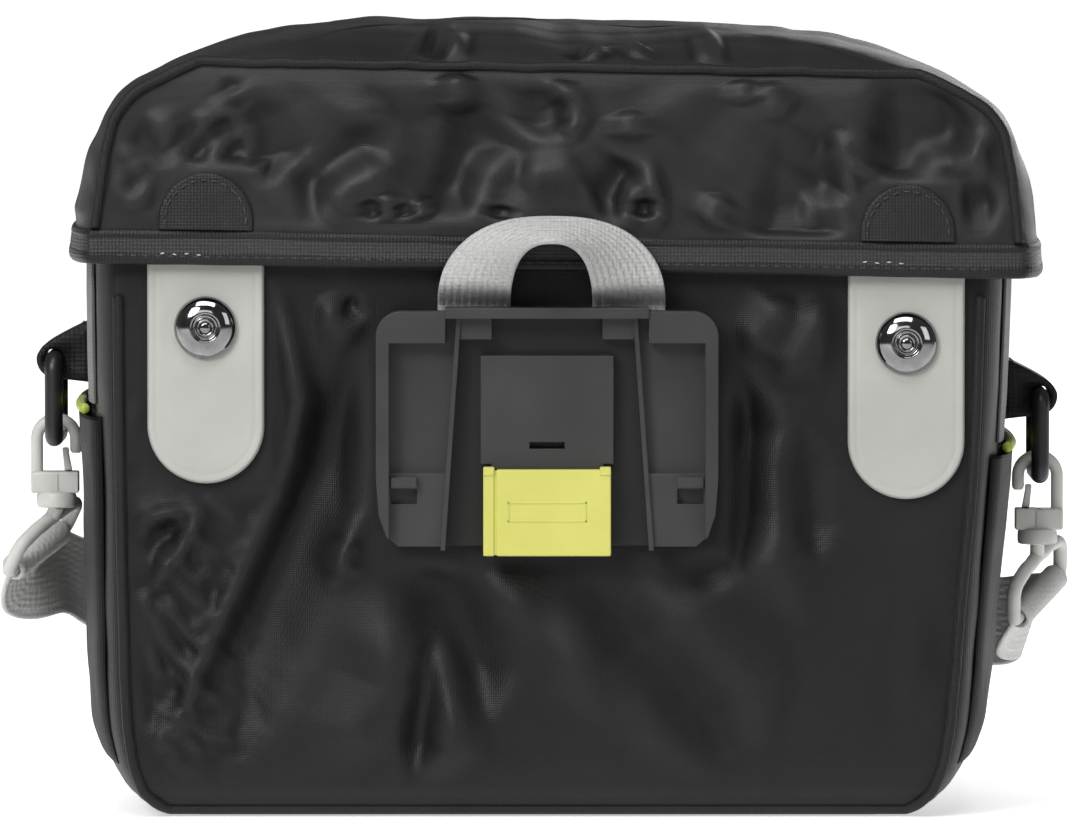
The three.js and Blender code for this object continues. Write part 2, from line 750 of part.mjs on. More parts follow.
// Grab handle: a ribbon between an outer and an inner edge curve. Its legs lie flat behind the plate's
// top edge, pass in front of the hem, and its crown turns until its face looks up.
function makeHandle() {
  const base = plateTop + barRise;
  const flat = strapBack - handleCloth / 2;
  const edge = (angle, half, rise) => {
    const x = handleShift - half * Math.sign(Math.cos(angle)) * Math.abs(Math.cos(angle)) ** 0.8;
    const z = base + rise * Math.max(Math.sin(angle), 0) ** 0.85;
    return new THREE.Vector3(x, flat - handleForward * smooth(base, base + handleRise * 0.3, z), z);
  };
  const steps = 26;
  const inset = (handleOuterHalf - handleInnerHalf - handleWidth) / 2;
  const pairs = [];
  for (let i = 0; i <= steps; i += 1) {
    const angle = (i / steps) * Math.PI;
    const outer = edge(angle, handleOuterHalf - inset, handleRise);
    const inner = edge(angle, handleInnerHalf + inset, handleInnerRise);
    // the webbing keeps its width, so the inner edge comes forward where the two curves draw together
    inner.y -= Math.sqrt(Math.max(handleWidth ** 2 - outer.distanceToSquared(inner), 0));
    pairs.push([outer, inner]);
  }
  const lowered = (pair) => pair.map((point) => point.clone().setZ(plateTop - handleTuck));
  pairs.unshift(lowered(pairs[0]));
  pairs.push(lowered(pairs.at(-1)));
  return solid(ribbon(pairs, handleCloth));
}

// A flat band of even thickness between pairs of edge points
function ribbon(pairs, cloth) {
  const middles = pairs.map(([a, b]) => a.clone().lerp(b, 0.5));
  const rings = pairs.map(([a, b], i) => {
    const ahead = middles[Math.min(i + 1, middles.length - 1)].clone();
    const along = ahead.sub(middles[Math.max(i - 1, 0)]);
    const face = along.cross(b.clone().sub(a)).normalize().multiplyScalar(cloth / 2);
    return [a.clone().add(face), b.clone().add(face), b.clone().sub(face), a.clone().sub(face)];
  });
  const flat = [[0, 0], [1, 0], [1, 1], [0, 1]].map(([x, y]) => new THREE.Vector2(x, y));
  return skin(rings, flat);
}
bag.add(piece('grab_handle', makeHandle(), paleWebbing()));

// Side pockets: cloth that stands off the side wall, closed below and at its ends, open above
function pocketForm(inset, bottom, top) {
  const steps = 4;
  const rings = [];
  for (let i = 0; i <= steps; i += 1) {
    const height = THREE.MathUtils.lerp(bottom, top, i / steps);
    const size = bodyAt(height);
    const share = (height - pocketBottom) / (pocketMouthLeft - pocketBottom);
    const bulge = THREE.MathUtils.lerp(pocketBulgeBottom, pocketBulgeTop, share) - inset;
    rings.push(planRing(size.seam, size.side + bulge, size.depth, size.centre, height, () => 0));
  }
  return solid(skin(rings));
}

function sideRegion(hand, reach, bottom, top) {
  const outer = hand * lidReach;
  return box(Math.min(outer, 0), Math.max(outer, 0), -reach, reach, bottom, top);
}

function makePocket(hand, mouth) {
  const reach = bodyDepthHalf * pocketReach;
  const outside = pocketForm(0, pocketBottom, mouth).intersect(sideRegion(hand, reach, 0, mouth));
  const hollow = pocketForm(pocketCloth, pocketBottom + pocketCloth, mouth + gap).intersect(
    sideRegion(hand, reach - pocketCloth, 0, mouth + 1),
  );
  return outside.subtract(hollow).subtract(bodySolid(gap));
}

function makePocketPiping(hand, mouth) {
  const size = bodyAt(mouth);
  const share = (mouth - pocketBottom) / (pocketMouthLeft - pocketBottom);
  const bulge = THREE.MathUtils.lerp(pocketBulgeBottom, pocketBulgeTop, share) - pocketCloth / 2;
  const ring = planRing(
    size.seam, size.side + bulge, size.depth, size.centre, mouth + gap + pipingRadius, () => 0,
  );
  const reach = bodyDepthHalf * pocketReach;
  const points = ring.filter((point) => (
    hand * (point.x - size.centre) > size.seam && Math.abs(point.y) < reach
  ));
  return pipingSolid(pipingCurve(points), 12).subtract(bodySolid(gap));
}

// A trim strip down the side wall near its rear seam, from under the lid into the pocket
const stripForm = bodySolid(gap + stripCloth).subtract(bodySolid(gap));
function makeStrip(hand, mouth) {
  const rear = -bodyDepthHalf + stripFromSeam;
  const outer = hand * lidReach;
  const region = box(
    Math.min(outer, hand * bodySeamHalf / 2), Math.max(outer, hand * bodySeamHalf / 2),
    rear, rear + stripWidth, mouth + 2 * gap + 2 * pipingRadius, hemHeight + stripTuck,
  );
  return stripForm.intersect(region);
}

// Tab: webbing folded round the ring's upper bar, its two layers sewn together and to the side wall
function ringTop(hand, height) {
  const size = bodyAt(height);
  return new THREE.Vector3(size.centre + hand * (size.side + tabReach), 0, height - tabCloth);
}

// Side line of a tab past its base. across and up are shares of its outer radius round the bar.
const tabNose = [[0.45, 0.9], [0.8, 0.55], [1, 0.1], [0.9, -0.45], [0.6, -0.82], [0.15, -1]];
function makeTab(hand, height) {
  const bar = ringTop(hand, height);
  const hole = ringRod + 1.5 * gap;
  const round = hole + tabCloth;
  const root = bar.x - hand * (tabReach + tabSunk);
  const wall = bar.x - hand * (tabReach - tabBase);
  const outline = polygon([
    [root, height + tabRoot / 2],
    [wall, height + tabRoot / 2],
    ...tabNose.map(([across, up]) => [bar.x + hand * across * round, bar.z + up * round]),
    [wall, height - tabRoot / 2],
    [root, height - tabRoot / 2],
  ]);
  const bore = pinBetween(bar.clone().setY(-tabWidth), bar.clone().setY(tabWidth), hole, 20);
  return slab(outline, -tabWidth / 2, tabWidth / 2).subtract(bore).subtract(bodySolid(gap));
}

// Frames round a rounded rectangle in a plane's own X and Y, out of its middle
function loopFrames(halfWidth, halfHeight, corner, steps) {
  const frames = [];
  for (let quarter = 0; quarter < 4; quarter += 1) {
    const signX = quarter === 0 || quarter === 3 ? 1 : -1;
    const signY = quarter < 2 ? 1 : -1;
    for (let i = 0; i <= steps; i += 1) {
      const angle = ((quarter + i / steps) * Math.PI) / 2;
      const out = new THREE.Vector3(Math.cos(angle), Math.sin(angle), 0);
      const point = new THREE.Vector3(signX * (halfWidth - corner), signY * (halfHeight - corner), 0)
        .addScaledVector(out, corner);
      frames.push({ point, out, side: new THREE.Vector3(0, 0, 1) });
    }
  }
  return frames;
}

// The ring: a closed loop of rod that hangs from its upper bar, its width along Y
function makeRing(hand, height) {
  const top = ringTop(hand, height);
  const matrix = new THREE.Matrix4().makeBasis(
    new THREE.Vector3(0, 1, 0), new THREE.Vector3(0, 0, 1), new THREE.Vector3(1, 0, 0),
  ).setPosition(top.x, 0, top.z - ringHeight / 2);
  return solid(rodAlong(loopFrames(ringHalfWidth, ringHeight / 2, ringCorner, 4), ringRod, true), matrix);
}

// A cylinder between two points
function pinBetween(from, to, radius, sides = 14) {
  const along = to.clone().sub(from);
  const geometry = new THREE.CylinderGeometry(radius, radius, along.length(), sides);
  const up = new THREE.Vector3(0, 1, 0);
  const turn = new THREE.Quaternion().setFromUnitVectors(up, along.clone().normalize());
  const middle = from.clone().lerp(to, 0.5);
  const matrix = new THREE.Matrix4().makeRotationFromQuaternion(turn).setPosition(middle);
  return solid(geometry, matrix);
}

// The hook's own frame: X towards the bag, Z up, its arc's centre at the origin, so that the ring's
// lower bar sits in the arc
const barInHook = hookRadius - hookRod - ringRod - gap;
function hookOrigin(hand, height) {
  const top = ringTop(hand, height);
  return new THREE.Vector3(top.x, 0, top.z - ringHeight - barInHook);
}

const pinAt = new THREE.Vector3(gateWidth * 1.6, 0, -hookThroat - gateWidth * 0.65);
const shankBottom = -hookThroat - shankLength;
const collarBottom = shankBottom - collarLength;

function makeHook() {
  const frames = [];
  const side = new THREE.Vector3(0, 1, 0);
  const west = new THREE.Vector3(-1, 0, 0);
  const east = new THREE.Vector3(1, 0, 0);
  frames.push({ point: new THREE.Vector3(-hookRadius, 0, -hookThroat - 1), out: west, side });
  const steps = 10;
  for (let i = 0; i <= steps; i += 1) {
    const angle = Math.PI * (1 - i / steps);
    const out = new THREE.Vector3(Math.cos(angle), 0, Math.sin(angle));
    frames.push({ point: out.clone().multiplyScalar(hookRadius), out, side });
  }
  frames.push({ point: new THREE.Vector3(hookRadius, 0, -noseLength), out: east, side });
  const arc = solid(rodAlong(frames, hookRod));
  const shankOutline = polygon([
    [-shankHalf - hookRod / 2, -hookThroat], [shankHalf, -hookThroat], [shankHalf, shankBottom + 2],
    [collarRadius * 0.8, shankBottom], [-collarRadius * 0.8, shankBottom],
    [-shankHalf - hookRod / 2, shankBottom + 2],
  ]);
  const shank = slab(shankOutline, -shankDepthHalf, shankDepthHalf);
  const slotBottom = pinAt.z - gateWidth;
  const slot = box(
    Math.max(pinAt.x - gateWidth, -shankHalf), shankHalf + 1, -gateDepth / 2 - gap, gateDepth / 2 + gap,
    slotBottom, -hookThroat + 1,
  );
  const pin = pinBetween(
    new THREE.Vector3(pinAt.x, -shankDepthHalf + 1, pinAt.z),
    new THREE.Vector3(pinAt.x, shankDepthHalf - 1, pinAt.z),
    pinRadius,
    10,
  );
  const collar = pinBetween(
    new THREE.Vector3(0, 0, shankBottom + 0.5), new THREE.Vector3(0, 0, collarBottom), collarRadius,
  );
  const socket = pinBetween(
    new THREE.Vector3(0, 0, collarBottom - 1), new THREE.Vector3(0, 0, shankBottom + 1),
    stemRadius + stemPlay, 12,
  );
  return joined([arc, shank, collar]).subtract(slot).subtract(socket).add(pin);
}

// The gate: a small lever on the pin, whose tip rests inside the nose
function makeGate() {
  const tipTop = -noseLength + gateOverlap;
  const tipOuter = hookRadius - hookRod - gap;
  const outline = polygon([
    [pinAt.x - gateWidth / 2, pinAt.z], [pinAt.x + gateWidth / 2, pinAt.z],
    [tipOuter, tipTop - gateOverlap], [tipOuter, tipTop], [tipOuter - gateWidth * 0.8, tipTop],
  ]);
  const lever = slab(outline, -gateDepth / 2, gateDepth / 2);
  const knuckle = pinBetween(
    new THREE.Vector3(pinAt.x, -gateDepth / 2, pinAt.z), new THREE.Vector3(pinAt.x, gateDepth / 2, pinAt.z),
    gateWidth * 0.8, 12,
  );
  const bore = pinBetween(
    new THREE.Vector3(pinAt.x, -gateDepth, pinAt.z), new THREE.Vector3(pinAt.x, gateDepth, pinAt.z),
    pinRadius + gap, 10,
  );
  return joined([lever, knuckle]).subtract(bore);
}

// The eye: a stem in the collar's socket, two shoulders and a loop that carries the strap on its bar.
// Its own frame has the stem's foot at the origin, X along the bar and Y along the stem, upwards.
function makeEye(matrix) {
  const points = [
    [eyeHalf - eyeCorner, -eyeLength], [eyeHalf - eyeCorner / 4, -eyeLength + eyeCorner / 4],
    [eyeHalf, -eyeLength + eyeCorner], [eyeHalf, -eyeLength * 0.5],
    [eyeHalf - eyeCorner, -eyeLength * 0.36], [eyeNeck, -eyeNeck - eyeStemSunk], [0, -eyeNeck],
  ];
  const right = points.map(([x, y]) => new THREE.Vector3(x, y, 0));
  const left = right.slice(0, -1).reverse().map((point) => new THREE.Vector3(-point.x, point.y, 0));
  const ring = [...right, ...left];
  const side = new THREE.Vector3(0, 0, 1);
  const frames = ring.map((point, i) => {
    const ahead = ring[(i + 1) % ring.length].clone().sub(ring[(i + ring.length - 1) % ring.length]);
    return { point, out: ahead.cross(side).normalize(), side };
  });
  const loop = solid(rodAlong(frames, eyeRod, true), matrix);
  const stem = pinBetween(
    new THREE.Vector3(0, -eyeNeck - eyeStemSunk, 0).applyMatrix4(matrix),
    new THREE.Vector3(0, eyeStemUp, 0).applyMatrix4(matrix),
    stemRadius, 12,
  );
  return loop.add(stem);
}

// Where each eye points: down its stem, and along its bar towards the rear
const eyeWays = {
  left: { down: new THREE.Vector3(-0.36, 0.58, -0.74), bar: new THREE.Vector3(-0.45, -0.78, -0.3) },
  right: { down: new THREE.Vector3(0.02, 0.45, -0.89), bar: new THREE.Vector3(-0.45, -0.74, -0.4) },
};

function eyeMatrix(side, hand, height) {
  const foot = hookOrigin(hand, height).add(new THREE.Vector3(0, 0, collarBottom));
  const up = eyeWays[side].down.clone().normalize().negate();
  const bar = eyeWays[side].bar.clone();
  bar.addScaledVector(up, -bar.dot(up)).normalize();
  return new THREE.Matrix4().makeBasis(bar, up, bar.clone().cross(up)).setPosition(foot);
}

for (const [side, hand, height, mouth] of [
  ['left', -1, leftTabHeight, pocketMouthLeft], ['right', 1, rightTabHeight, pocketMouthRight],
]) {
  bag.add(piece(`side_pocket_${side}`, makePocket(hand, mouth), blackCloth()));
  bag.add(piece(`pocket_piping_${side}`, makePocketPiping(hand, mouth), limePiping()));
  bag.add(piece(`side_strip_${side}`, makeStrip(hand, mouth), greyTape()));
  bag.add(piece(`ring_tab_${side}`, makeTab(hand, height), blackTape()));
  bag.add(piece(`strap_ring_${side}`, makeRing(hand, height), blackPlastic()));
  const hookGroup = new THREE.Group();
  hookGroup.position.copy(hookOrigin(hand, height));
  hookGroup.rotation.z = hand < 0 ? 0 : Math.PI;
  hookGroup.add(piece(`snap_hook_${side}`, makeHook(), palePlastic()));
  hookGroup.add(piece(`hook_gate_${side}`, makeGate(), palePlastic()));
  bag.add(hookGroup);
  bag.add(piece(`swivel_eye_${side}`, makeEye(eyeMatrix(side, hand, height)), palePlastic()));
}

// Shoulder strap: webbing sewn round the bar of each eye, passing the side of the bag on its way
// to the front, where its slack stands on edge on the floor in one long loop.
// Way points from an eye to the floor. x is a share of bodySideHalf, y of bodyDepthHalf, and fall is in
// millimetres below the eye's bar; the last two rows stand on the floor. turn is the webbing's width.
const beltWays = {
  left: [
    { x: 1.09, y: 0.42, fall: 7, turn: [-0.2, -0.1, 0.95] },
    { x: 1.04, y: 0.72, fall: 12, turn: [-0.1, 0, 1] },
    { x: 0.96, y: 1.15, fall: 19, turn: [-0.05, 0, 1] },
  ],
  right: [
    { x: 1.08, y: 0.4, fall: 7, turn: [0.3, 0.3, 0.9] },
    { x: 1.04, y: 0.68, fall: 10, turn: [0.1, 0, 1] },
    { x: 0.96, y: 1.15, fall: 15, turn: [0, 0, 1] },
  ],
};
// One end of the strap, from the middle of the eye's bar to the straight stretch on the floor
function beltEnd(side, hand, height) {
  const matrix = eyeMatrix(side, hand, height);
  const bar = new THREE.Vector3().setFromMatrixColumn(matrix, 0);
  bar.multiplyScalar(Math.sign(bar.z));
  const middle = new THREE.Vector3(0, -eyeLength, 0).applyMatrix4(matrix);
  const way = beltWays[side].map((row) => ({
    place: new THREE.Vector3(hand * row.x * bodySideHalf, row.y * bodyDepthHalf, middle.z - row.fall),
    turn: new THREE.Vector3(...row.turn).normalize(),
  }));
  const lead = way[0].place.clone().sub(middle);
  lead.addScaledVector(bar, -lead.dot(bar)).setLength(beltLead);
  const upright = new THREE.Vector3(0, 0, 1);
  return {
    bar,
    middle,
    way: [
      { place: middle, turn: bar },
      { place: middle.clone().add(lead), turn: bar },
      ...way,
      {
        place: new THREE.Vector3(hand * beltLoopHalf, beltTouchdown * bodyDepthHalf, beltFloor + beltWidth / 2),
        turn: upright,
      },
    ],
  };
}

// Edge points across the webbing, all the way from one eye to the other
function beltPairs(left, right) {
  const bendSteps = 5;
  const bend = [];
  for (let i = 0; i <= bendSteps; i += 1) {
    const angle = Math.PI * (1 - i / bendSteps);
    bend.push({
      place: new THREE.Vector3(
        beltLoopHalf * Math.cos(angle), beltReach + beltLoopHalf * Math.sin(angle),
        beltFloor + beltWidth / 2,
      ),
      turn: new THREE.Vector3(0, 0, 1),
    });
  }
  const rows = [...left.way, ...bend, ...right.way.slice().reverse()];
  const route = new THREE.CatmullRomCurve3(rows.map((row) => row.place), false, 'centripetal');
  const facing = new THREE.CatmullRomCurve3(rows.map((row) => row.turn), false, 'centripetal');
  const steps = 80;
  const pairs = [];
  for (let i = 0; i <= steps; i += 1) {
    const along = route.getTangent(i / steps);
    const turn = facing.getPoint(i / steps);
    turn.addScaledVector(along, -turn.dot(along)).setLength(beltWidth / 2);
    const point = route.getPoint(i / steps);
    point.z = Math.max(point.z, beltFloor + beltWidth / 2);
    pairs.push([point.clone().sub(turn), point.clone().add(turn)]);
  }
  return pairs;
}

function makeBelt() {
  const ends = [beltEnd('left', -1, leftTabHeight), beltEnd('right', 1, rightTabHeight)];
  const round = (end, radius, half) => pinBetween(
    end.middle.clone().addScaledVector(end.bar, -half), end.middle.clone().addScaledVector(end.bar, half),
    radius, 16,
  );
  const sewnRound = ends.map((end) => round(end, eyeRod + gap + beltCloth, beltWidth / 2));
  const bars = ends.map((end) => round(end, eyeRod + gap, beltWidth));
  return joined([solid(ribbon(beltPairs(...ends), beltCloth)), ...sewnRound]).subtract(joined(bars));
}
bag.add(piece('shoulder_strap', makeBelt(), strapWebbing()));

export default bag;
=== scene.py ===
import math

import bmesh
import bpy
import numpy as np
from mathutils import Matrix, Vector


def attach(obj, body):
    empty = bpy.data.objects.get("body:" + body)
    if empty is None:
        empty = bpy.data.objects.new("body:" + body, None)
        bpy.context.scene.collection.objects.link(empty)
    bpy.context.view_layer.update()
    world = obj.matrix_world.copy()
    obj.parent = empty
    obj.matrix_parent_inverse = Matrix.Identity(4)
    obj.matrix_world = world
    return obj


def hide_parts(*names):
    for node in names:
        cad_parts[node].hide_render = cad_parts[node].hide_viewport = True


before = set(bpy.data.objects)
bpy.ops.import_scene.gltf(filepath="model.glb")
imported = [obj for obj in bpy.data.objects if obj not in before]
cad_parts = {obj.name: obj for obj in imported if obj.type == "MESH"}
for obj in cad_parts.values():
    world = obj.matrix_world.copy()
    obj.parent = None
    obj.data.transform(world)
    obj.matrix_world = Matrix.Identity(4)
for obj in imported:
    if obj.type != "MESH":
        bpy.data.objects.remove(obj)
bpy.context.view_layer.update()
print("frame loaded")

# sizes are in millimetres in the frame of the bag and become metres when a mesh is made
metre = 0.001
gap = 0.3


def linkPiece(name, verts, faces, finish, slot, body="bag", nodes=(), smooth=True):
    mesh = bpy.data.meshes.new(name)
    mesh.from_pydata((np.asarray(verts, float) * metre).tolist(), [], faces)
    work = bmesh.new()
    work.from_mesh(mesh)
    bmesh.ops.recalc_face_normals(work, faces=work.faces)
    work.to_mesh(mesh)
    work.free()
    mesh.polygons.foreach_set("use_smooth", [smooth] * len(mesh.polygons))
    mesh.materials.append(finishes[finish])
    piece = bpy.data.objects.new(name, mesh)
    bpy.context.scene.collection.objects.link(piece)
    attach(piece, body)
    if nodes:
        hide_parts(*nodes)
    return piece


# faces of a grid of points, rows by columns, with each direction open or closed on itself
def gridFaces(rows, columns, closedAcross=False, closedAlong=False, first=0):
    faces = []
    for r in range(rows if closedAlong else rows - 1):
        here = first + r * columns
        above = first + ((r + 1) % rows) * columns
        for c in range(columns if closedAcross else columns - 1):
            d = (c + 1) % columns
            faces.append((here + c, here + d, above + d, above + c))
    return faces


# closed skin through rings of points, each ring closed on itself, with flat ends
def ringPiece(name, rings, finish, closed=False, **rest):
    rings = np.asarray(rings, float)
    rows, columns = rings.shape[:2]
    faces = gridFaces(rows, columns, True, closed)
    verts = rings.reshape(-1, 3)
    if not closed:
        ends = np.array([rings[0].mean(0), rings[-1].mean(0)])
        middle = len(verts)
        verts = np.vstack([verts, ends])
        last = (rows - 1) * columns
        for c in range(columns):
            d = (c + 1) % columns
            faces.append((middle, c, d))
            faces.append((middle + 1, last + d, last + c))
    return linkPiece(name, verts, faces, finish, **rest)


# a sheet with a front grid and a back grid, closed round its rim
def thickPiece(name, front, back, finish, **rest):
    rows, columns = front.shape[:2]
    count = rows * columns
    verts = np.vstack([front.reshape(-1, 3), back.reshape(-1, 3)])
    faces = gridFaces(rows, columns) + [tuple(reversed(f)) for f in gridFaces(rows, columns, first=count)]
    rim = list(range(columns))
    rim += [r * columns + columns - 1 for r in range(1, rows)]
    rim += [(rows - 1) * columns + c for c in range(columns - 2, -1, -1)]
    rim += [r * columns for r in range(rows - 2, 0, -1)]
    for i, a in enumerate(rim):
        b = rim[(i + 1) % len(rim)]
        faces.append((a, b, count + b, count + a))
    return linkPiece(name, verts, faces, finish, **rest)


def unit(vectors):
    vectors = np.asarray(vectors, float)
    return vectors / np.maximum(np.linalg.norm(vectors, axis=-1, keepdims=True), 1e-9)


# a direction made square to another one
def squared(direction, way):
    direction = np.asarray(direction, float)
    return unit(direction - way * np.dot(direction, way))


# normals of a grid of points that is closed across
def gridNormals(points):
    return unit(np.cross(np.roll(points, -1, 1) - np.roll(points, 1, 1), np.gradient(points, axis=0)))


def smooth(low, high, value):
    t = np.clip((np.asarray(value, float) - low) / (high - low), 0, 1)
    return t * t * (3 - 2 * t)


# soft noise on a plane, from a seeded lattice
def clothNoise(u, v, seed):
    draw = np.random.RandomState(seed)
    lattice = draw.uniform(-1, 1, (64, 64))
    cellU, cellV = np.floor(u).astype(int), np.floor(v).astype(int)
    fu, fv = u - cellU, v - cellV
    fu, fv = fu * fu * (3 - 2 * fu), fv * fv * (3 - 2 * fv)
    a = lattice[cellU % 64, cellV % 64]
    b = lattice[(cellU + 1) % 64, cellV % 64]
    c = lattice[cellU % 64, (cellV + 1) % 64]
    d = lattice[(cellU + 1) % 64, (cellV + 1) % 64]
    return (a * (1 - fu) + b * fu) * (1 - fv) + (c * (1 - fu) + d * fu) * fv


# height of folds, each a line of points with a width and a height, fading towards both its ends
def foldField(folds, x, z, spread):
    field = np.zeros_like(x)
    points = np.stack([x, z], -1)
    for width, height, line in folds:
        places = np.array(line, float)
        chord = places[-1] - places[0]
        share = (points - places[0]) @ chord / (chord @ chord)
        nearest = np.full(x.shape, np.inf)
        for start, way in zip(places, np.diff(places, axis=0)):
            along = np.clip((points - start) @ way / (way @ way), 0, 1)
            off = points - start - along[..., None] * way
            nearest = np.minimum(nearest, np.hypot(off[..., 0], off[..., 1]))
        fade = smooth(-0.1, 0.3, share) * smooth(-0.1, 0.3, 1 - share)
        taper = spread * width * (0.4 + 0.6 * fade)
        field += height * fade * np.exp(-(nearest / taper) ** 2)
    return field


# a smooth curve through rows of a table, read at any height
def tableAt(rows, height):
    rows = np.array(rows, float)
    heights = rows[:, 0]
    slopes = np.gradient(rows, heights, axis=0)
    i = np.clip(np.searchsorted(heights, height, side="right") - 1, 0, len(heights) - 2)
    span = heights[i + 1] - heights[i]
    t = (np.asarray(height, float) - heights[i]) / span
    t2, t3 = t * t, t ** 3
    t, t2, t3, span = (value[..., None] for value in (t, t2, t3, span))
    return ((2 * t3 - 3 * t2 + 1) * rows[i] + (t3 - 2 * t2 + t) * span * slopes[i]
            + (3 * t2 - 2 * t3) * rows[i + 1] + (t3 - t2) * span * slopes[i + 1])


# a smooth line through points, the same spacing rule as the frame's curves
def smoothLine(points, count):
    points = [np.array(p, float) for p in points]
    last = len(points) - 1
    found = []
    for k in range(count + 1):
        place = last * k / count
        i = min(int(place), last - 1)
        w = place - i
        p1, p2 = points[i], points[i + 1]
        p0 = points[i - 1] if i > 0 else 2 * p1 - p2
        p3 = points[i + 2] if i + 2 <= last else 2 * p2 - p1
        d0, d1, d2 = (np.linalg.norm(b - a) ** 0.5 for a, b in ((p0, p1), (p1, p2), (p2, p3)))
        d1 = d1 if d1 > 1e-4 else 1
        d0 = d0 if d0 > 1e-4 else d1
        d2 = d2 if d2 > 1e-4 else d1
        t1 = ((p1 - p0) / d0 - (p2 - p0) / (d0 + d1) + (p2 - p1) / d1) * d1
        t2 = ((p2 - p1) / d1 - (p3 - p1) / (d1 + d2) + (p3 - p2) / d2) * d1
        found.append(p1 + t1 * w + (3 * (p2 - p1) - 2 * t1 - t2) * w ** 2
                     + (2 * (p1 - p2) + t1 + t2) * w ** 3)
    return np.array(found)


# evenly spaced points along a line
def evenly(line, count):
    line = np.asarray(line, float)
    lengths = np.concatenate([[0], np.cumsum(np.linalg.norm(np.diff(line, axis=0), axis=1))])
    at = np.linspace(0, lengths[-1], count)
    return np.stack([np.interp(at, lengths, line[:, k]) for k in range(line.shape[1])], 1)


def circle(sides):
    return np.linspace(0, 2 * math.pi, sides, endpoint=False)


# rings of a round rod along a line, with a radius that may change
def rodRings(line, radius, sides, closed=False):
    line = np.asarray(line, float)
    ways = unit(np.roll(line, -1, 0) - np.roll(line, 1, 0) if closed else np.gradient(line, axis=0))
    side = np.cross(ways[0], (0.31, 0.22, 0.93))
    angles = circle(sides)[:, None]
    rings = []
    for place, way, size in zip(line, ways, np.broadcast_to(radius, len(line))):
        side = squared(side, way)
        rings.append(place + size * (np.cos(angles) * side + np.sin(angles) * np.cross(way, side)))
    return np.array(rings)


# camera, light and floor
# distance and elevation of the camera, what it points at, one pixel of the photograph there in metres
view = {"distance": 2.6, "elevation": 3.0, "centreX": -0.0019, "centreZ": 0.1088, "plane": -0.085,
        "pixel": 0.000268, "pixels": 1080, "sensor": 36, "farthest": 60}


def setCamera():
    lensData = bpy.data.cameras.new("photoCamera")
    viewer = bpy.data.objects.new("photoCamera", lensData)
    bpy.context.scene.collection.objects.link(viewer)
    target = Vector((view["centreX"], view["plane"], view["centreZ"]))
    tilt = math.radians(view["elevation"])
    back = Vector((0, -math.cos(tilt), math.sin(tilt)))
    viewer.location = target + back * view["distance"]
    viewer.rotation_euler = back.to_track_quat("Z", "Y").to_euler()
    lensData.sensor_width = view["sensor"]
    lensData.lens = view["distance"] / view["pixel"] / view["pixels"] * view["sensor"]
    lensData.clip_end = view["farthest"]
    bpy.context.scene.camera = viewer


setCamera()


def softLight(name, place, target, size, power):
    data = bpy.data.lights.new(name, "AREA")
    data.shape = "RECTANGLE"
    data.size, data.size_y = size
    data.energy = power
    lamp = bpy.data.objects.new(name, data)
    bpy.context.scene.collection.objects.link(lamp)
    lamp.location = place
    lamp.rotation_euler = (Vector(place) - Vector(target)).to_track_quat("Z", "Y").to_euler()


# place, what it points at, size in metres, power in watts
for name, light in {
    "topLight": ((-0.1, -0.75, 1.45), (0, -0.08, 0.1), (1.1, 0.6), 11),
    "leftLight": ((-0.85, -1.4, 1.05), (0, -0.08, 0.12), (0.6, 0.7), 19),
    "rightLight": ((1.5, -1.3, 0.8), (0, 0, 0.1), (0.7, 1.0), 4),
    "frontLight": ((-0.3, -2.6, 1.3), (0, 0, 0.1), (1.4, 0.7), 5),
    "backLight": ((0.7, 2.3, 0.55), (0, 0.08, 0.1), (1.2, 0.6), 9),
}.items():
    softLight(name, *light)


# each input of a node is set to a value, or linked to another node's output
def feed(tree, node, inputs):
    for name, value in inputs.items():
        if isinstance(value, bpy.types.NodeSocket):
            tree.links.new(value, node.inputs[name])
        else:
            node.inputs[name].default_value = value


def addNode(tree, kind, inputs, output=0, **settings):
    node = tree.nodes.new("ShaderNode" + kind)
    for name, value in settings.items():
        setattr(node, name, value)
    feed(tree, node, inputs)
    return node.outputs[output]


def rampNode(tree, source, low, high, start=0.3, end=0.7):
    node = tree.nodes.new("ShaderNodeValToRGB")
    for element, place, colour in zip(node.color_ramp.elements, (start, end), (low, high)):
        element.position = place
        element.color = (*colour, 1)
    feed(tree, node, {"Fac": source})
    return node.outputs["Color"]


def rangeNode(tree, source, low, high, start=0.3, end=0.7):
    inputs = {"Value": source, "From Min": start, "From Max": end, "To Min": low, "To Max": high}
    return addNode(tree, "MapRange", inputs)


def noiseNode(tree, place, scale, detail, roughness):
    inputs = {"Scale": scale, "Detail": detail, "Roughness": roughness, "Vector": place}
    return addNode(tree, "TexNoise", inputs, "Fac")


def bumpNode(tree, source, strength, distance, before=None):
    inputs = {"Strength": strength, "Distance": distance, "Height": source}
    if before is not None:
        inputs["Normal"] = before
    return addNode(tree, "Bump", inputs)


def mixNode(tree, share, first, second, blend="MIX"):
    return addNode(tree, "Mix", {0: share, 6: first, 7: second}, 2, data_type="RGBA", blend_type=blend)


# how far a place lies towards the back
def backwards(tree, space="Object"):
    return addNode(tree, "SeparateXYZ", {0: addNode(tree, "TexCoord", {}, space)}, "Y")


def setWorld(name, front, back, strength):
    world = bpy.data.worlds.new(name)
    bpy.context.scene.world = world
    world.use_nodes = True
    tree = world.node_tree
    tree.nodes.clear()
    half = addNode(tree, "Math", {0: backwards(tree, "Generated"), 1: 0.5, 2: 0.5}, operation="MULTIPLY_ADD")
    grey = rampNode(tree, half, (front,) * 3, (back,) * 3, 0.28, 0.62)
    light = addNode(tree, "Background", {"Color": grey, "Strength": strength})
    feed(tree, tree.nodes.new("ShaderNodeOutputWorld"), {"Surface": light})


setWorld("paleStudio", 0.07, 0.13, 0.95)
bpy.context.scene.view_settings.view_transform = "Standard"


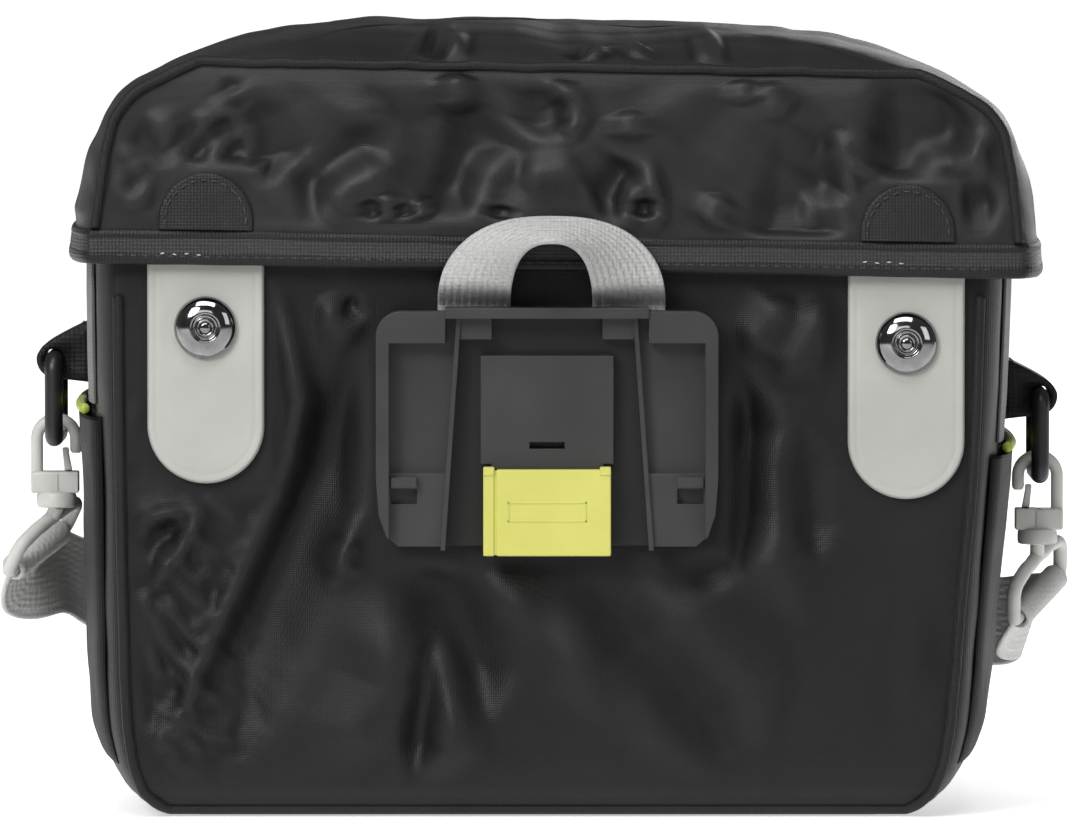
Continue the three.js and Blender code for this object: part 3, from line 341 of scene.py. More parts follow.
# materials
def newFinish(name):
    finish = bpy.data.materials.new(name)
    finish.use_nodes = True
    tree = finish.node_tree
    return finish, tree, tree.nodes["Principled BSDF"], addNode(tree, "TexCoord", {}, "Object")


# threads across each other: one wave along each axis, added up
def weaveNode(tree, place, threads):
    inputs = {"Scale": threads, "Distortion": 0.6, "Detail": 1.0, "Detail Scale": 1.5, "Vector": place}
    total = None
    for axis in "XYZ":
        wave = addNode(tree, "TexWave", inputs, "Fac", wave_type="BANDS", bands_direction=axis)
        total = wave if total is None else addNode(tree, "Math", {0: total, 1: wave}, operation="ADD")
    return total


# woven cloth: colour that varies, threads, fine grain, a low sheen, and if asked painted shade in the valleys
# of folds and painted highlight on their ridges
def clothFinish(name, dark, light, rough, threads, sheen, weave, specular=0.4, patches=18.0, paintedFoldShading=0.0):
    finish, tree, shader, place = newFinish(name)
    clouds = noiseNode(tree, place, patches, 4.0, 0.6)
    grain = noiseNode(tree, place, 1400.0, 2.0, 0.6)
    colour = mixNode(tree, 0.35, rampNode(tree, clouds, dark, light), grain, "OVERLAY")
    if paintedFoldShading:
        # painted shade darkens the valleys of folds and painted highlight lightens their ridges
        bend = addNode(tree, "NewGeometry", {}, "Pointiness")
        paintedFoldTones = rampNode(tree, bend, (1 - paintedFoldShading,) * 3, (1 + paintedFoldShading,) * 3, 0.485, 0.515)
        colour = mixNode(tree, 1.0, colour, paintedFoldTones, "MULTIPLY")
    fine = bumpNode(tree, grain, 0.15, 0.0002)
    feed(tree, shader, {
        "Base Color": colour, "Roughness": rangeNode(tree, clouds, rough - 0.06, rough + 0.08),
        "Normal": bumpNode(tree, weaveNode(tree, place, threads), weave, 0.00012, fine),
        "Sheen Weight": sheen, "Sheen Roughness": 0.45, "Specular IOR Level": specular,
    })
    return finish


# moulded plastic: fine grain, faint flow marks, edges that catch a little light
def plasticFinish(name, dark, light, rough, grain, edge, specular):
    finish, tree, shader, place = newFinish(name)
    clouds = noiseNode(tree, place, 35.0, 4.0, 0.6)
    speck = noiseNode(tree, place, 2600.0, 2.0, 0.5)
    softEdges = addNode(tree, "Bevel", {"Radius": edge}, samples=4)
    feed(tree, shader, {
        "Base Color": rampNode(tree, clouds, dark, light),
        "Roughness": rangeNode(tree, clouds, rough - 0.05, rough + 0.07),
        "Normal": bumpNode(tree, speck, grain, 0.00015, softEdges), "Specular IOR Level": specular,
    })
    return finish


# painted shade: the plate's colour is darker towards the floor of its deep channels
def paintShadeInDeepPlaces(finish, floorAt, faceAt, darkest):
    tree = finish.node_tree
    shader = tree.nodes["Principled BSDF"]
    colour = shader.inputs["Base Color"].links[0].from_socket
    depth = rangeNode(tree, backwards(tree), darkest, 1.0, floorAt, faceAt)
    feed(tree, shader, {"Base Color": mixNode(tree, depth, (0.002, 0.002, 0.002, 1), colour)})


def chromeFinish(name, dark, light):
    finish, tree, shader, place = newFinish(name)
    smear = noiseNode(tree, place, 260.0, 3.0, 0.6)
    feed(tree, shader, {
        "Base Color": rampNode(tree, smear, dark, light), "Roughness": rangeNode(tree, smear, 0.05, 0.11),
        "Normal": bumpNode(tree, smear, 0.04, 0.0002), "Metallic": 1.0,
    })
    return finish


# the studio floor glows behind the bag, as a floor lit for a white background does
def lightFloor(finish, start, end, low, high):
    tree = finish.node_tree
    glow = rangeNode(tree, backwards(tree), low, high, start, end)
    feed(tree, tree.nodes["Principled BSDF"], {"Emission Strength": glow, "Emission Color": (1, 1, 1, 1)})


finishes = {"chrome": chromeFinish("chrome", (0.27, 0.27, 0.272), (0.37, 0.37, 0.372))}
# dark and light colour, roughness, threads, sheen, weave, specular, size of patches, painted shade in creases
# and painted highlight on ridges
for name, values in {
    "bodyNylon": ((0.008, 0.008, 0.0083), (0.0122, 0.0122, 0.0125), 0.46, 520, 0.02, 0.25, 0.24, 18, 0.4),
    "lidNylon": ((0.0105, 0.0105, 0.011), (0.017, 0.017, 0.0175), 0.47, 620, 0.02, 0.18, 0.3, 18, 0.5),
    "hemTape": ((0.009, 0.009, 0.0095), (0.015, 0.015, 0.0155), 0.5, 330, 0.05, 0.5, 0.3),
    "hemRibs": ((0.022, 0.022, 0.0225), (0.036, 0.036, 0.037), 0.5, 330, 0.08, 0.5, 0.35),
    "pipingTape": ((0.011, 0.011, 0.0115), (0.019, 0.019, 0.0195), 0.55, 420, 0.03, 0.4, 0.22),
    "patchNylon": ((0.0115, 0.0115, 0.012), (0.018, 0.018, 0.0185), 0.48, 360, 0.03, 0.4, 0.28),
    "pocketNylon": ((0.0035, 0.0035, 0.0037), (0.006, 0.006, 0.0063), 0.55, 420, 0.01, 0.3, 0.14),
    "greyTape": ((0.05, 0.052, 0.048), (0.085, 0.088, 0.08), 0.6, 300, 0.25, 0.5),
    "limePiping": ((0.42, 0.50, 0.06), (0.56, 0.64, 0.11), 0.55, 360, 0.2, 0.4),
    "tabWebbing": ((0.004, 0.004, 0.0043), (0.0085, 0.0085, 0.009), 0.55, 260, 0.04, 0.6, 0.28),
    "handleWebbing": ((0.42, 0.42, 0.415), (0.53, 0.53, 0.52), 0.62, 300, 0.1, 0.6),
    "beltWebbing": ((0.5, 0.5, 0.49), (0.62, 0.62, 0.6), 0.6, 210, 0.1, 0.4, 0.3),
    "beltEdge": ((0.66, 0.66, 0.64), (0.76, 0.76, 0.74), 0.6, 300, 0.1, 0.5, 0.3),
    "paleThread": ((0.4, 0.4, 0.39), (0.6, 0.6, 0.58), 0.6, 900, 0.2, 0.3),
    "darkThread": ((0.03, 0.03, 0.031), (0.055, 0.055, 0.055), 0.5, 900, 0.3, 0.3),
    "paleFloor": ((0.86, 0.86, 0.86), (0.9, 0.9, 0.9), 0.8, 30, 0, 0.02, 0.1, 2),
}.items():
    finishes[name] = clothFinish(name, *values)
# dark and light colour, roughness, grain, roundness of edges, specular
for name, values in {
    "strapSynthetic": ((0.415, 0.415, 0.387), (0.465, 0.465, 0.437), 0.5, 0.25, 0.0003, 0.4),
    "darkPlastic": ((0.031, 0.0315, 0.032), (0.041, 0.0415, 0.042), 0.42, 0.1, 0.00045, 0.45),
    "blackPlastic": ((0.009, 0.009, 0.0095), (0.015, 0.015, 0.0155), 0.38, 0.1, 0.0003, 0.5),
    "palePlastic": ((0.56, 0.56, 0.53), (0.64, 0.64, 0.61), 0.36, 0.08, 0.0003, 0.5),
    "yellowPlastic": ((0.57, 0.56, 0.122), (0.64, 0.625, 0.155), 0.4, 0.08, 0.0002, 0.45),
}.items():
    finishes[name] = plasticFinish(name, *values)
# painted shade from the plate's floor to its face, and the floor's glow from in front of the bag to behind
# it, in metres
paintShadeInDeepPlaces(finishes["darkPlastic"], -0.0836, -0.0862, 0.15)
lightFloor(finishes["paleFloor"], -0.25, 0.1, 0.05, 1.0)
print("materials made")


# reaches far back, so that the horizon lies above the picture
def makeFloor(halfWidth, front, back):
    points = [(x, y, 0.0) for y in (front, back) for x in (-halfWidth, halfWidth)]
    mesh = bpy.data.meshes.new("floor")
    mesh.from_pydata(points, [], gridFaces(2, 2))
    mesh.materials.append(finishes["paleFloor"])
    floor = bpy.data.objects.new("floor", mesh)
    bpy.context.scene.collection.objects.link(floor)


makeFloor(60, -8, 90)
print("camera, light and floor set")


# how far a side wall bulges out at a share of its depth
def sideBulge(share, fullness=2.4):
    return (1 - np.abs(share) ** fullness) ** (1 / fullness)


# plan outline shared by body and lid: rear edge, right side, front, left side
def planRings(seam, side, depth, centre, heights, shape):
    seam, side, depth, centre, heights = (
        np.asarray(v, float)[:, None] for v in (seam, side, depth, centre, heights))
    parts = []
    for hand, edge in ((1, "rear"), (-1, "front")):
        t = np.arange(shape[edge])[None, :] / shape[edge]
        parts.append((centre - hand * seam + 2 * hand * seam * t, -hand * depth))
        u = -np.cos(np.arange(shape["sides"])[None, :] / shape["sides"] * math.pi)
        parts.append((centre + hand * (seam + (side - seam) * sideBulge(u)), hand * u * depth))
    return np.concatenate([np.stack(np.broadcast_arrays(x, y, heights), 2) for x, y in parts], 1)


hands = {"left": -1, "right": 1}
# closing straps with their press studs, and the plate's outline, under which the body lies flat
strap = {"half": 15.7, "cloth": 2.2, "edge": 0.9, "top": 162.5, "ends": {"left": 90.3, "right": 86.1},
         "centres": {"left": -91.6, "right": 96.4}, "back": -80.3, "studAbove": 42}
stud = {"radius": 8.4, "height": 3.2}
plate = {"half": 45.8, "bottom": 73.8}

# body
bodyShape = {
    "seamHalf": 115, "sideHalf": 126, "depthHalf": 80, "height": 214, "top": 0.72,
    "rear": 190, "sides": 56, "front": 90, "rows": 170, "footRows": 14,
    "foldGain": 1.9, "foldSpread": 1.3, "wrinkle": 0.5, "sideWrinkle": 0.9, "puckers": 0.9, "gathers": 2.2,
    # height, seam, side, depth, lean as shares
    "sections": [
        (0, 0.79, 0.745, 0.86, -0.02), (0.0094, 0.858, 0.84, 0.925, -0.02),
        (0.0255, 0.905, 0.885, 0.965, -0.02), (0.0491, 0.93, 0.918, 0.985, -0.019),
        (0.0934, 0.95, 0.95, 0.995, -0.018), (0.1586, 0.962, 0.966, 1, -0.016),
        (0.2454, 0.971, 0.972, 1, -0.012), (0.3209, 0.979, 0.978, 1, -0.008),
        (0.3964, 0.987, 0.983, 1, -0.003), (0.6041, 0.998, 0.997, 1, 0.003), (0.7174, 1, 1, 1, 0.005),
        (0.8212, 0.99, 0.985, 1, 0.005), (1.01, 0.98, 0.95, 1, 0.005),
    ],
}
# folds of the rear panel: width, height out of the panel, and the line that each follows
bodyFolds = [
    (3, 2.4, [(-74, 144.5), (-70, 129), (-66, 112.5), (-69, 95.5), (-75, 81), (-81, 67),
              (-88, 51.5), (-94.5, 37.5), (-100.5, 23)]),
    (9, -4.4, [(-48, 123.5), (-58, 102), (-65, 83.5), (-73.5, 62), (-81, 43), (-84, 19)]),
    (3.4, 1.4, [(-46, 84), (-52.5, 75.5), (-58, 62)]),
    (8, 2.6, [(-40.5, 59.5), (-41.5, 35), (-50, 24.5), (-59, 11)]),
    (3.6, -2.2, [(-32, 48.5), (-33, 32.5), (-36.5, 8.5)]),
    (4.6, 2.2, [(-28, 48.5), (-25.5, 32.5), (-24.5, 18.5), (-31.5, 5.5)]),
    (7, -3, [(-36, 69.5), (-28.5, 59.5), (-21.5, 46), (-17, 27)]),
    (6, 2, [(-18.5, 67), (-7, 56.5), (3.5, 43), (14, 27)]),
    (2.2, 1.6, [(-115, 77.5), (-106.5, 81), (-99.5, 83), (-92.5, 83)]),
    (2.4, 1.8, [(-92, 83), (-98, 73.5), (-106, 62)]),
    (2.6, -1.6, [(-114, 94), (-109, 93), (-105, 90)]),
    (2.4, 1.5, [(-114, 100.5), (-112.5, 107.5), (-106.5, 112)]),
    (3, -0.6, [(-106.5, 70), (-101, 76.5), (-96.5, 80)]),
    (2.2, 1.4, [(-114.5, 59), (-109, 58.5), (-106, 61)]),
    (3, -1.8, [(-113, 48.5), (-109, 35), (-106.5, 20.5)]),
    (2.6, 1.2, [(-113, 40), (-108.5, 42.5), (-103.5, 42)]),
    (2.6, 1.2, [(-113.5, 21.5), (-107.5, 22.5), (-101.5, 19.5)]),
    (2.4, -1.6, [(-54, 139.5), (-50, 138), (-48.5, 135)]),
    (2.2, 1.8, [(-51, 141), (-46, 138), (-43.5, 135)]),
    (3.2, 1.4, [(-61, 139.5), (-55.5, 131.5), (-47, 131)]),
    (4.6, 2.2, [(75, 139.5), (71, 129), (63, 117.5)]),
    (5, 1.6, [(65, 139.5), (58, 131.5), (52.5, 126)]),
    (7, -4, [(48.5, 120.5), (53, 105), (51.5, 83.5), (42.5, 63)]),
    (7.5, 2.4, [(60, 113), (58, 91.5), (60, 70), (68.5, 53.5)]),
    (4, -1.4, [(68, 105), (69.5, 86), (72, 70)]),
    (7, 2.2, [(1.5, 59.5), (14, 41), (27.5, 25.5), (41, 9.5)]),
    (7, -1.8, [(11.5, 62), (27.5, 43), (41, 30), (51.5, 14)]),
    (8, 2, [(25, 62), (41, 50.5), (56.5, 35), (58, 22)]),
    (3, 1.2, [(-52.5, 75.5), (-55.5, 71), (-55, 64.5)]),
]


def bodyAt(z):
    share = np.atleast_1d(np.asarray(z, float)) / bodyShape["height"]
    row = tableAt(bodyShape["sections"], share)
    return (row[:, 1] * bodyShape["seamHalf"], row[:, 2] * bodyShape["sideHalf"],
            row[:, 3] * bodyShape["depthHalf"], row[:, 4] * bodyShape["sideHalf"])


# the panel lies flat under the plate and the two straps
def flatPlaces(x, z):
    free = np.maximum(smooth(1, 10, np.abs(x) - plate["half"]), smooth(1, 10, plate["bottom"] - z))
    for side in hands:
        beside = smooth(0.5, 8, np.abs(x - strap["centres"][side]) - strap["half"])
        free = free * np.maximum(beside, smooth(0.5, 8, strap["ends"][side] - z))
    return free


def bodyRings():
    footRows = bodyShape["footRows"]
    shares = np.concatenate([np.linspace(0, 0.03, footRows),
                             np.linspace(0.036, bodyShape["top"], bodyShape["rows"] - footRows)])
    z = shares * bodyShape["height"]
    seam, side, depth, centre = bodyAt(z)
    return planRings(seam, side, depth, centre, z, bodyShape), seam


def bodyPush(rings, seam):
    x, y, z = np.moveaxis(rings, -1, 0)
    onPanel = np.zeros_like(x)
    onPanel[:, :bodyShape["rear"]] = 1
    inside = np.abs(x) < seam[:, None]
    flat = flatPlaces(x, z)
    calm = smooth(0, 9, seam[:, None] - np.abs(x)) * smooth(4, 22, z)
    push = onPanel * calm * flat * bodyShape["foldGain"] * foldField(bodyFolds, x, z, bodyShape["foldSpread"])
    # small creases everywhere, longer down the panel than across it
    crease = clothNoise((x + z * 0.3) / 16, z / 34, 3) + 0.5 * clothNoise(x / 7 + 9, z / 15, 5)
    push += bodyShape["wrinkle"] * crease * calm * np.where(onPanel > 0, flat, 1) * inside
    sideCrease = clothNoise(y / 20, z / 30, 8) + 0.4 * clothNoise(y / 9, z / 14, 9)
    besideSeams = smooth(0, 14, bodyShape["depthHalf"] - np.abs(y)) * smooth(4, 22, z)
    push += bodyShape["sideWrinkle"] * sideCrease * besideSeams * ~inside
    # puckers where the left edge is gathered into its seam, and slanting creases beside them
    pucker = np.exp(-((x + 104) / 5.5) ** 2) * onPanel * smooth(10, 25, z) * smooth(0, 20, 100 - z)
    push += bodyShape["puckers"] * pucker * np.sin(z / 3.4 + 1.6 * np.sin(z / 11))
    gathered = np.exp(-((x + 97) / 15) ** 2) * onPanel * calm * smooth(0, 18, 104 - z) * flat
    slant = clothNoise((x + 0.7 * z) / 6.5, (z - x) / 15, 15)
    slant += 0.5 * clothNoise((x + z) / 3.6, (z - x) / 9, 16)
    return push + bodyShape["gathers"] * gathered * (0.5 - np.abs(slant))


def makeBody():
    rings, seam = bodyRings()
    rings = rings + gridNormals(rings) * bodyPush(rings, seam)[..., None]
    # base: rows that close under the bag, with a little slack
    floorRows = [rings[0] * (k, k, 0) + (0, 0, lift)
                 for k, lift in ((0.02, 0.9), (0.2, 0.8), (0.5, 0.5), (0.8, 0.1), (0.96, 0))]
    ringPiece("body_cloth", np.concatenate([floorRows, rings]), "bodyNylon", slot="body_cloth",
              nodes=["body_shell"])


makeBody()
print("body made")

# patches on the lid over the places where the straps are sewn in
patch = {"half": 12.7, "foot": 9.6, "height": 15.2, "cloth": 0.9, "spacing": 188, "seam": 1.8}

# lid, in its own frame: on its hem, turned and shifted a little on the bag
lidShape = {
    "seamHalf": 123.5, "sideHalf": 132.6, "depthHalf": 86.5, "height": 66.5, "hem": 147.5,
    "shift": 2.4, "tilt": 0.95, "ridge": 0.82, "rear": 210, "sides": 56, "front": 90,
    "foldGain": 1.5, "foldSpread": 1.7, "wrinkle": 0.5, "sideWrinkle": 0.7, "panelRows": 96, "crownRows": 56,
    # height, seam, side, depth as shares
    "sections": [
        (0, 1, 1, 1), (0.143, 0.996, 0.992, 0.994), (0.33, 0.984, 0.976, 0.988), (0.496, 0.97, 0.952, 0.983),
        (0.609, 0.951, 0.926, 0.978), (0.692, 0.911, 0.89, 0.971), (0.759, 0.85, 0.843, 0.96),
        (0.82, 0.773, 0.788, 0.936), (0.872, 0.664, 0.718, 0.879), (0.925, 0.55, 0.623, 0.763),
        (0.97, 0.389, 0.503, 0.578), (0.993, 0.202, 0.315, 0.324), (1, 0.05, 0.08, 0.08),
    ],
}
# folds of the lid's rear panel and crown, in its own frame: width, height out of the panel, and line
lidFolds = [
    (2.2, -1.6, [(-89.5, 50), (-88, 45), (-85.5, 41.5)]),
    (5.5, -3.4, [(-84.5, 45), (-80, 36.5), (-76.5, 29), (-76, 23.5)]),
    (2.6, 1.8, [(-90.5, 48.5), (-85.5, 39), (-82.5, 31)]),
    (3, -2, [(-94, 39), (-89.5, 33.5), (-84.5, 28.5)]),
    (2.4, 1.4, [(-96.5, 41), (-91.5, 33.5), (-88.5, 29)]),
    (3, -2, [(-102, 37.5), (-98.5, 32.5), (-94, 27.5)]),
    (2.6, 1.2, [(-109, 41), (-103.5, 34.5), (-98, 28.5)]),
    (2.8, -1.6, [(-116, 34.5), (-109, 31.5), (-99.5, 29)]),
    (2.4, 1.2, [(-117.5, 30.5), (-109, 28), (-98, 27.5)]),
    (2.6, -1.6, [(-117.5, 21), (-110, 25), (-102, 28)]),
    (3, 1.3, [(-117, 26.5), (-110, 22.5), (-109, 16)]),
    (4.2, -3, [(-46, 38.5), (-55, 33.5), (-62, 28.5), (-66.5, 22), (-68, 13.5)]),
    (3.6, 2.2, [(-44, 27.5), (-54.5, 23), (-62, 18), (-63, 13.5)]),
    (3, 1.2, [(-46, 43.5), (-58, 37), (-69.5, 26)]),
    (7.5, -5, [(-19.5, 46), (-22, 36), (-26.5, 26.5), (-31.5, 15.5)]),
    (2.6, 2.2, [(-28, 53), (-26.5, 46.5), (-28, 42)]),
    (3, 2.4, [(-13.5, 32), (-19.5, 25), (-22.5, 15)]),
    (3.2, 1.4, [(-31, 42), (-33, 32), (-35.5, 21)]),
    (4.4, -2.6, [(-3, 49.5), (-5.5, 43), (-7.5, 36)]),
    (2.4, 2, [(-2, 51), (2.5, 46), (4.5, 35)]),
    (2.2, -1.2, [(0, 47), (1, 38)]),
    (2, -1.6, [(-49.5, 18.5), (-49, 13)]),
    (2.2, 1.4, [(-46, 19.5), (-45, 13)]),
    (2, -1.4, [(-41, 17.5), (-40.5, 13.5)]),
    (2.2, 1.4, [(-37.5, 18.5), (-36, 13.5)]),
    (2, -1.4, [(-15, 17.5), (-15.5, 13.5)]),
    (2.6, 1.2, [(-10.5, 24), (-4.5, 27), (6.5, 26.5)]),
    (3.4, -3, [(11, 15.5), (13.5, 22.5), (17, 26.5), (22.5, 28)]),
    (2.6, 2.2, [(15.5, 16), (19, 21), (23, 23.5), (27.5, 21.5), (29, 16)]),
    (2.2, -1.8, [(23.5, 20), (23.5, 14.5)]),
    (2.6, 1.6, [(19, 43.5), (19.5, 35.5)]),
    (2.4, 1.8, [(44.5, 21), (42, 16.5), (40.5, 12.5)]),
    (2.4, 1.3, [(49, 52.5), (49.5, 45.5)]),
    (2.4, 1.3, [(55, 52), (57, 47), (60, 42)]),
    (8, -2.6, [(50.5, 17.5), (65.5, 18.5), (77.5, 16)]),
    (6, -2, [(76.5, 39.5), (71.5, 31), (68.5, 21)]),
    (3, 2.4, [(73.5, 38.5), (78.5, 29.5), (82.5, 21)]),
    (9, -4, [(82, 37), (93.5, 37.5), (112.5, 40)]),
    (2.8, 2.6, [(116.5, 37.5), (109, 32.5), (95.5, 28.5)]),
    (3.6, -2.6, [(104, 22), (112.5, 21), (119.5, 21)]),
    (3, 1.4, [(105.5, 25.5), (115, 27.5), (119, 30)]),
    (2.6, 1.3, [(65.5, 13.5), (68.5, 17.5), (79, 19.5)]),
]
crownFolds = [
    (2.6, -2.4, [(-36.5, 63), (-33, 59), (-31, 56)]),
    (2.2, 2, [(-34.5, 64), (-29.5, 60), (-25, 56)]),
    (2.4, -1.8, [(5, 61), (6, 56.5)]),
    (2.2, 1.6, [(8.5, 60.5), (9.5, 56.5)]),
    (2.4, 1.4, [(20.5, 62), (19, 57.5)]),
    (2.4, 1.3, [(43.5, 62), (36, 57.5)]),
    (3, -1.2, [(-9.5, 64.5), (12, 63), (33, 64)]),
]


def onLid(points):
    points = np.asarray(points, float)
    turn = math.radians(lidShape["tilt"])
    x = points[..., 0] * math.cos(turn) + points[..., 2] * math.sin(turn)
    z = points[..., 2] * math.cos(turn) - points[..., 0] * math.sin(turn)
    return np.stack([x + lidShape["shift"], points[..., 1], z + lidShape["hem"]], -1)


def lidAt(z):
    share = np.atleast_1d(np.asarray(z, float)) / lidShape["height"]
    row = tableAt(lidShape["sections"], share)
    return (row[:, 1] * lidShape["seamHalf"], row[:, 2] * lidShape["sideHalf"],
            row[:, 3] * lidShape["depthHalf"])


def lidRings(z, offset=0.0):
    seam, side, depth = lidAt(z)
    return planRings(seam + offset, side + offset, depth + offset, np.zeros_like(seam), z, lidShape), seam


def lidPush(rings, seam):
    x, y, z = np.moveaxis(rings, -1, 0)
    onRear = np.zeros_like(x)
    onRear[:, :lidShape["rear"]] = 1
    ridge = lidShape["ridge"] * lidShape["height"]
    toSeam = smooth(0, 8, seam[:, None] - np.abs(x))
    onPanel = onRear * toSeam * smooth(9.5, 12.5, z) * smooth(0.5, 5, ridge - z)
    for hand in hands.values():
        besidePatch = smooth(0, 5, np.abs(x - hand * patch["spacing"] / 2) - patch["half"])
        onPanel = onPanel * np.maximum(besidePatch, smooth(0, 5, z - patch["foot"] - patch["height"]))
    # folds of the crown start at the ridge seam
    onCrown = smooth(0.5, 4, z - ridge) * smooth(0, 30, -y + 10)
    push = lidShape["foldGain"] * (onPanel * foldField(lidFolds, x, z, lidShape["foldSpread"])
                                   + onCrown * foldField(crownFolds, x, z, lidShape["foldSpread"]))
    crease = clothNoise((x - z) / 13, (z + x * 0.4) / 20, 21) + 0.6 * clothNoise((x + z) / 7, z / 9 + 5, 22)
    everywhere = smooth(9.5, 14, z) * smooth(1, 7, np.abs(ridge - z))
    push += lidShape["wrinkle"] * crease * np.where(np.abs(x) < seam[:, None], toSeam, 1) * everywhere
    besideSeams = smooth(0, 12, lidShape["depthHalf"] - np.abs(y)) * everywhere * (onRear < 1)
    return push + lidShape["sideWrinkle"] * clothNoise(y / 18, z / 12, 31) * besideSeams


def makeLid():
    ridge = lidShape["ridge"]
    # rows grow closer towards the top of the crown
    rise = 1 - (1 - np.linspace(0, 1, lidShape["crownRows"])[1:]) ** 1.8
    shares = np.concatenate([np.linspace(0.05, ridge, lidShape["panelRows"]), ridge + (0.999 - ridge) * rise])
    rings, seam = lidRings(shares * lidShape["height"])
    rings = rings + gridNormals(rings) * lidPush(rings, seam)[..., None]
    ringPiece("lid_cloth", onLid(rings), "lidNylon", slot="lid_cloth", nodes=["lid_shell"])


makeLid()
print("lid made")


# stitches: short threads that follow a line and sink at both ends
threadShape = {"sides": 6, "fine": 8, "profile": ((0, -0.4, 0.35), (0.18, 0.35, 1), (0.5, 0.6, 1.05),
                                                 (0.82, 0.35, 1), (1, -0.4, 0.35))}


def makeStitches(name, lines, out, finish, length, pause, radius):
    verts, faces = [], []
    sides, fineness, profile = threadShape["sides"], threadShape["fine"], threadShape["profile"]
    for line in lines:
        line = np.asarray(line, float)
        total = np.linalg.norm(np.diff(line, axis=0), axis=1).sum()
        count = max(int(total / (length + pause)), 1)
        fine = evenly(line, count * fineness + 1)
        for k in range(count):
            a = fine[k * fineness]
            b = fine[k * fineness + int(fineness * length / (length + pause))]
            way = unit(b - a)
            up = squared(out, way)
            across = np.cross(way, up)
            first = len(verts)
            for share, rise, size in profile:
                middle = a + (b - a) * share + up * rise * radius
                for s in range(sides):
                    angle = 2 * math.pi * s / sides
                    verts.append(middle + radius * size * (math.cos(angle) * up + math.sin(angle) * across))
            last = first + (len(profile) - 1) * sides
            faces += gridFaces(len(profile), sides, True, first=first)
            faces.append(tuple(first + s for s in range(sides - 1, -1, -1)))
            faces.append(tuple(last + s for s in range(sides)))
    linkPiece(name, verts, faces, finish, slot="black_tape")


# binding tape round the hem of the lid, folded over the edge
binding = {"height": 9.3, "cloth": 0.9, "ribs": 0.22, "ribFoot": 3.4, "ribTop": 7.0, "ribRows": 14,
           "specks": ((-106, 3.0), (82, 3.8))}
rearward = (0, -1, 0)


def makeBinding():
    high, out = binding["height"], binding["cloth"]
    # outline of the folded tape: out from the lid, up from the hem; a dark band, ribs, and a dark band again
    profile = [(-3.2, high - 0.6), (-3.2, 1.2), (-2.4, 0.25), (-1.0, 0), (0.1, 0.15), (out - 0.3, 0.7),
               (out - 0.05, 1.5), (out, 2.4), (out - 0.05, 3.1)]
    ribStart = len(profile)
    for k, z in enumerate(np.linspace(binding["ribFoot"], binding["ribTop"], binding["ribRows"])):
        profile.append((out - 0.1 - (binding["ribs"] if k % 2 else 0), z))
    ribEnd = len(profile) - 1
    profile += [(out - 0.02, 7.4), (out, 8.2), (out - 0.12, 8.8), (0.5, high), (0.0, high - 0.1),
                (-0.6, high)]
    rings = []
    for off, z in profile:
        ring = lidRings([z], off)[0][0]
        # slack in the tape: it bows up and down a little on its way round
        bow = (0.35 * clothNoise(ring[:, 0] / 26, ring[:, 1] / 26 + 7, 41)
               + 0.15 * clothNoise(ring[:, 0] / 9, ring[:, 1] / 9, 42))
        ring[:, 2] += bow * (1 if 1 < z < 9 else 0.6)
        rings.append(ring)
    piece = ringPiece("hem_binding", onLid(rings), "hemTape", closed=True, slot="black_tape",
                      nodes=["lid_hem_binding"])
    piece.data.materials.append(finishes["hemRibs"])
    around = len(rings[0])
    for polygon in piece.data.polygons[ribStart * around:ribEnd * around]:
        polygon.material_index = 1
    # a row of stitches below the ribs, and a few loose pale ones over each strap
    face, reach = -lidAt([binding["ribTop"]])[2][0] - out - 0.1, lidShape["seamHalf"] - 6
    row = [(x, face, binding["ribFoot"] - 1.0) for x in np.linspace(-reach, reach, 60)]
    makeStitches("binding_thread", [onLid(row)], rearward, "darkThread", 2.1, 1.2, 0.16)
    specks = [onLid([(start + k, face, rise + 0.25 * math.sin(k)) for k in range(14)])
              for start, rise in binding["specks"]]
    makeStitches("pale_specks", specks, rearward, "paleThread", 1.1, 1.7, 0.2)


makeBinding()


# piping on the seams
piping = {"radius": 1.4, "sink": 0.7, "sides": 12, "foot": 0.0094, "bodyTop": 140.8, "lidFoot": 9.6,
          "wobble": 0.25}


# up the left seam and down the right one
def seamLine(heights, shapeAt):
    seam, _, depth, centre = shapeAt(heights)
    y = -depth - piping["sink"]
    sides = [np.stack([centre + hand * (seam + piping["sink"]), y, heights], 1) for hand in hands.values()]
    return np.concatenate([sides[0], sides[1][::-1]])


def makePipings():
    ridge = lidShape["ridge"] * lidShape["height"]
    heights = np.concatenate([np.linspace(piping["lidFoot"], 44, 24), np.linspace(45, ridge, 22)])
    line = evenly(seamLine(heights, lambda z: (*lidAt(z), 0.0 * z)), 420)
    wobble = piping["wobble"] * clothNoise(np.arange(len(line)) / 9.0, np.zeros(len(line)), 51)
    rings = rodRings(onLid(line), piping["radius"] + 0.12 * wobble, piping["sides"])
    rings[..., 2] += wobble[:, None]
    ringPiece("lid_piping", rings, "pipingTape", slot="black_tape", nodes=["lid_rear_piping"])
    foot = piping["foot"] * bodyShape["height"]
    heights = np.concatenate([np.linspace(piping["bodyTop"], 20, 60), np.linspace(19, foot, 20)])
    rings = rodRings(evenly(seamLine(heights, bodyAt), 480), piping["radius"], piping["sides"])
    ringPiece("body_piping", rings, "pipingTape", slot="black_tape", nodes=["body_rear_piping"])


makePipings()
print("binding and piping made")


# outline of a tongue: rows from its flat end to its round end, as (distance, half width)
def tongueRows(length, half, rows, tipRows):
    straight = np.linspace(0, length - half, rows)
    angles = np.linspace(0, math.pi / 2, tipRows + 1)[1:]
    tip = length - half + half * np.sin(angles)
    widths = half * np.cos(angles)
    widths[-1] = half * 0.02
    return np.concatenate([straight, tip]), np.concatenate([np.full(rows, half), widths])


def edgeRound(distance, radius):
    inside = np.clip(1 - distance / radius, 0, 1)
    return np.sqrt(1 - inside ** 2)


# places across a tongue from edge to edge, closer together at the edges
def acrossTongue(count):
    return np.sin(np.linspace(-1, 1, count) * math.pi / 2)


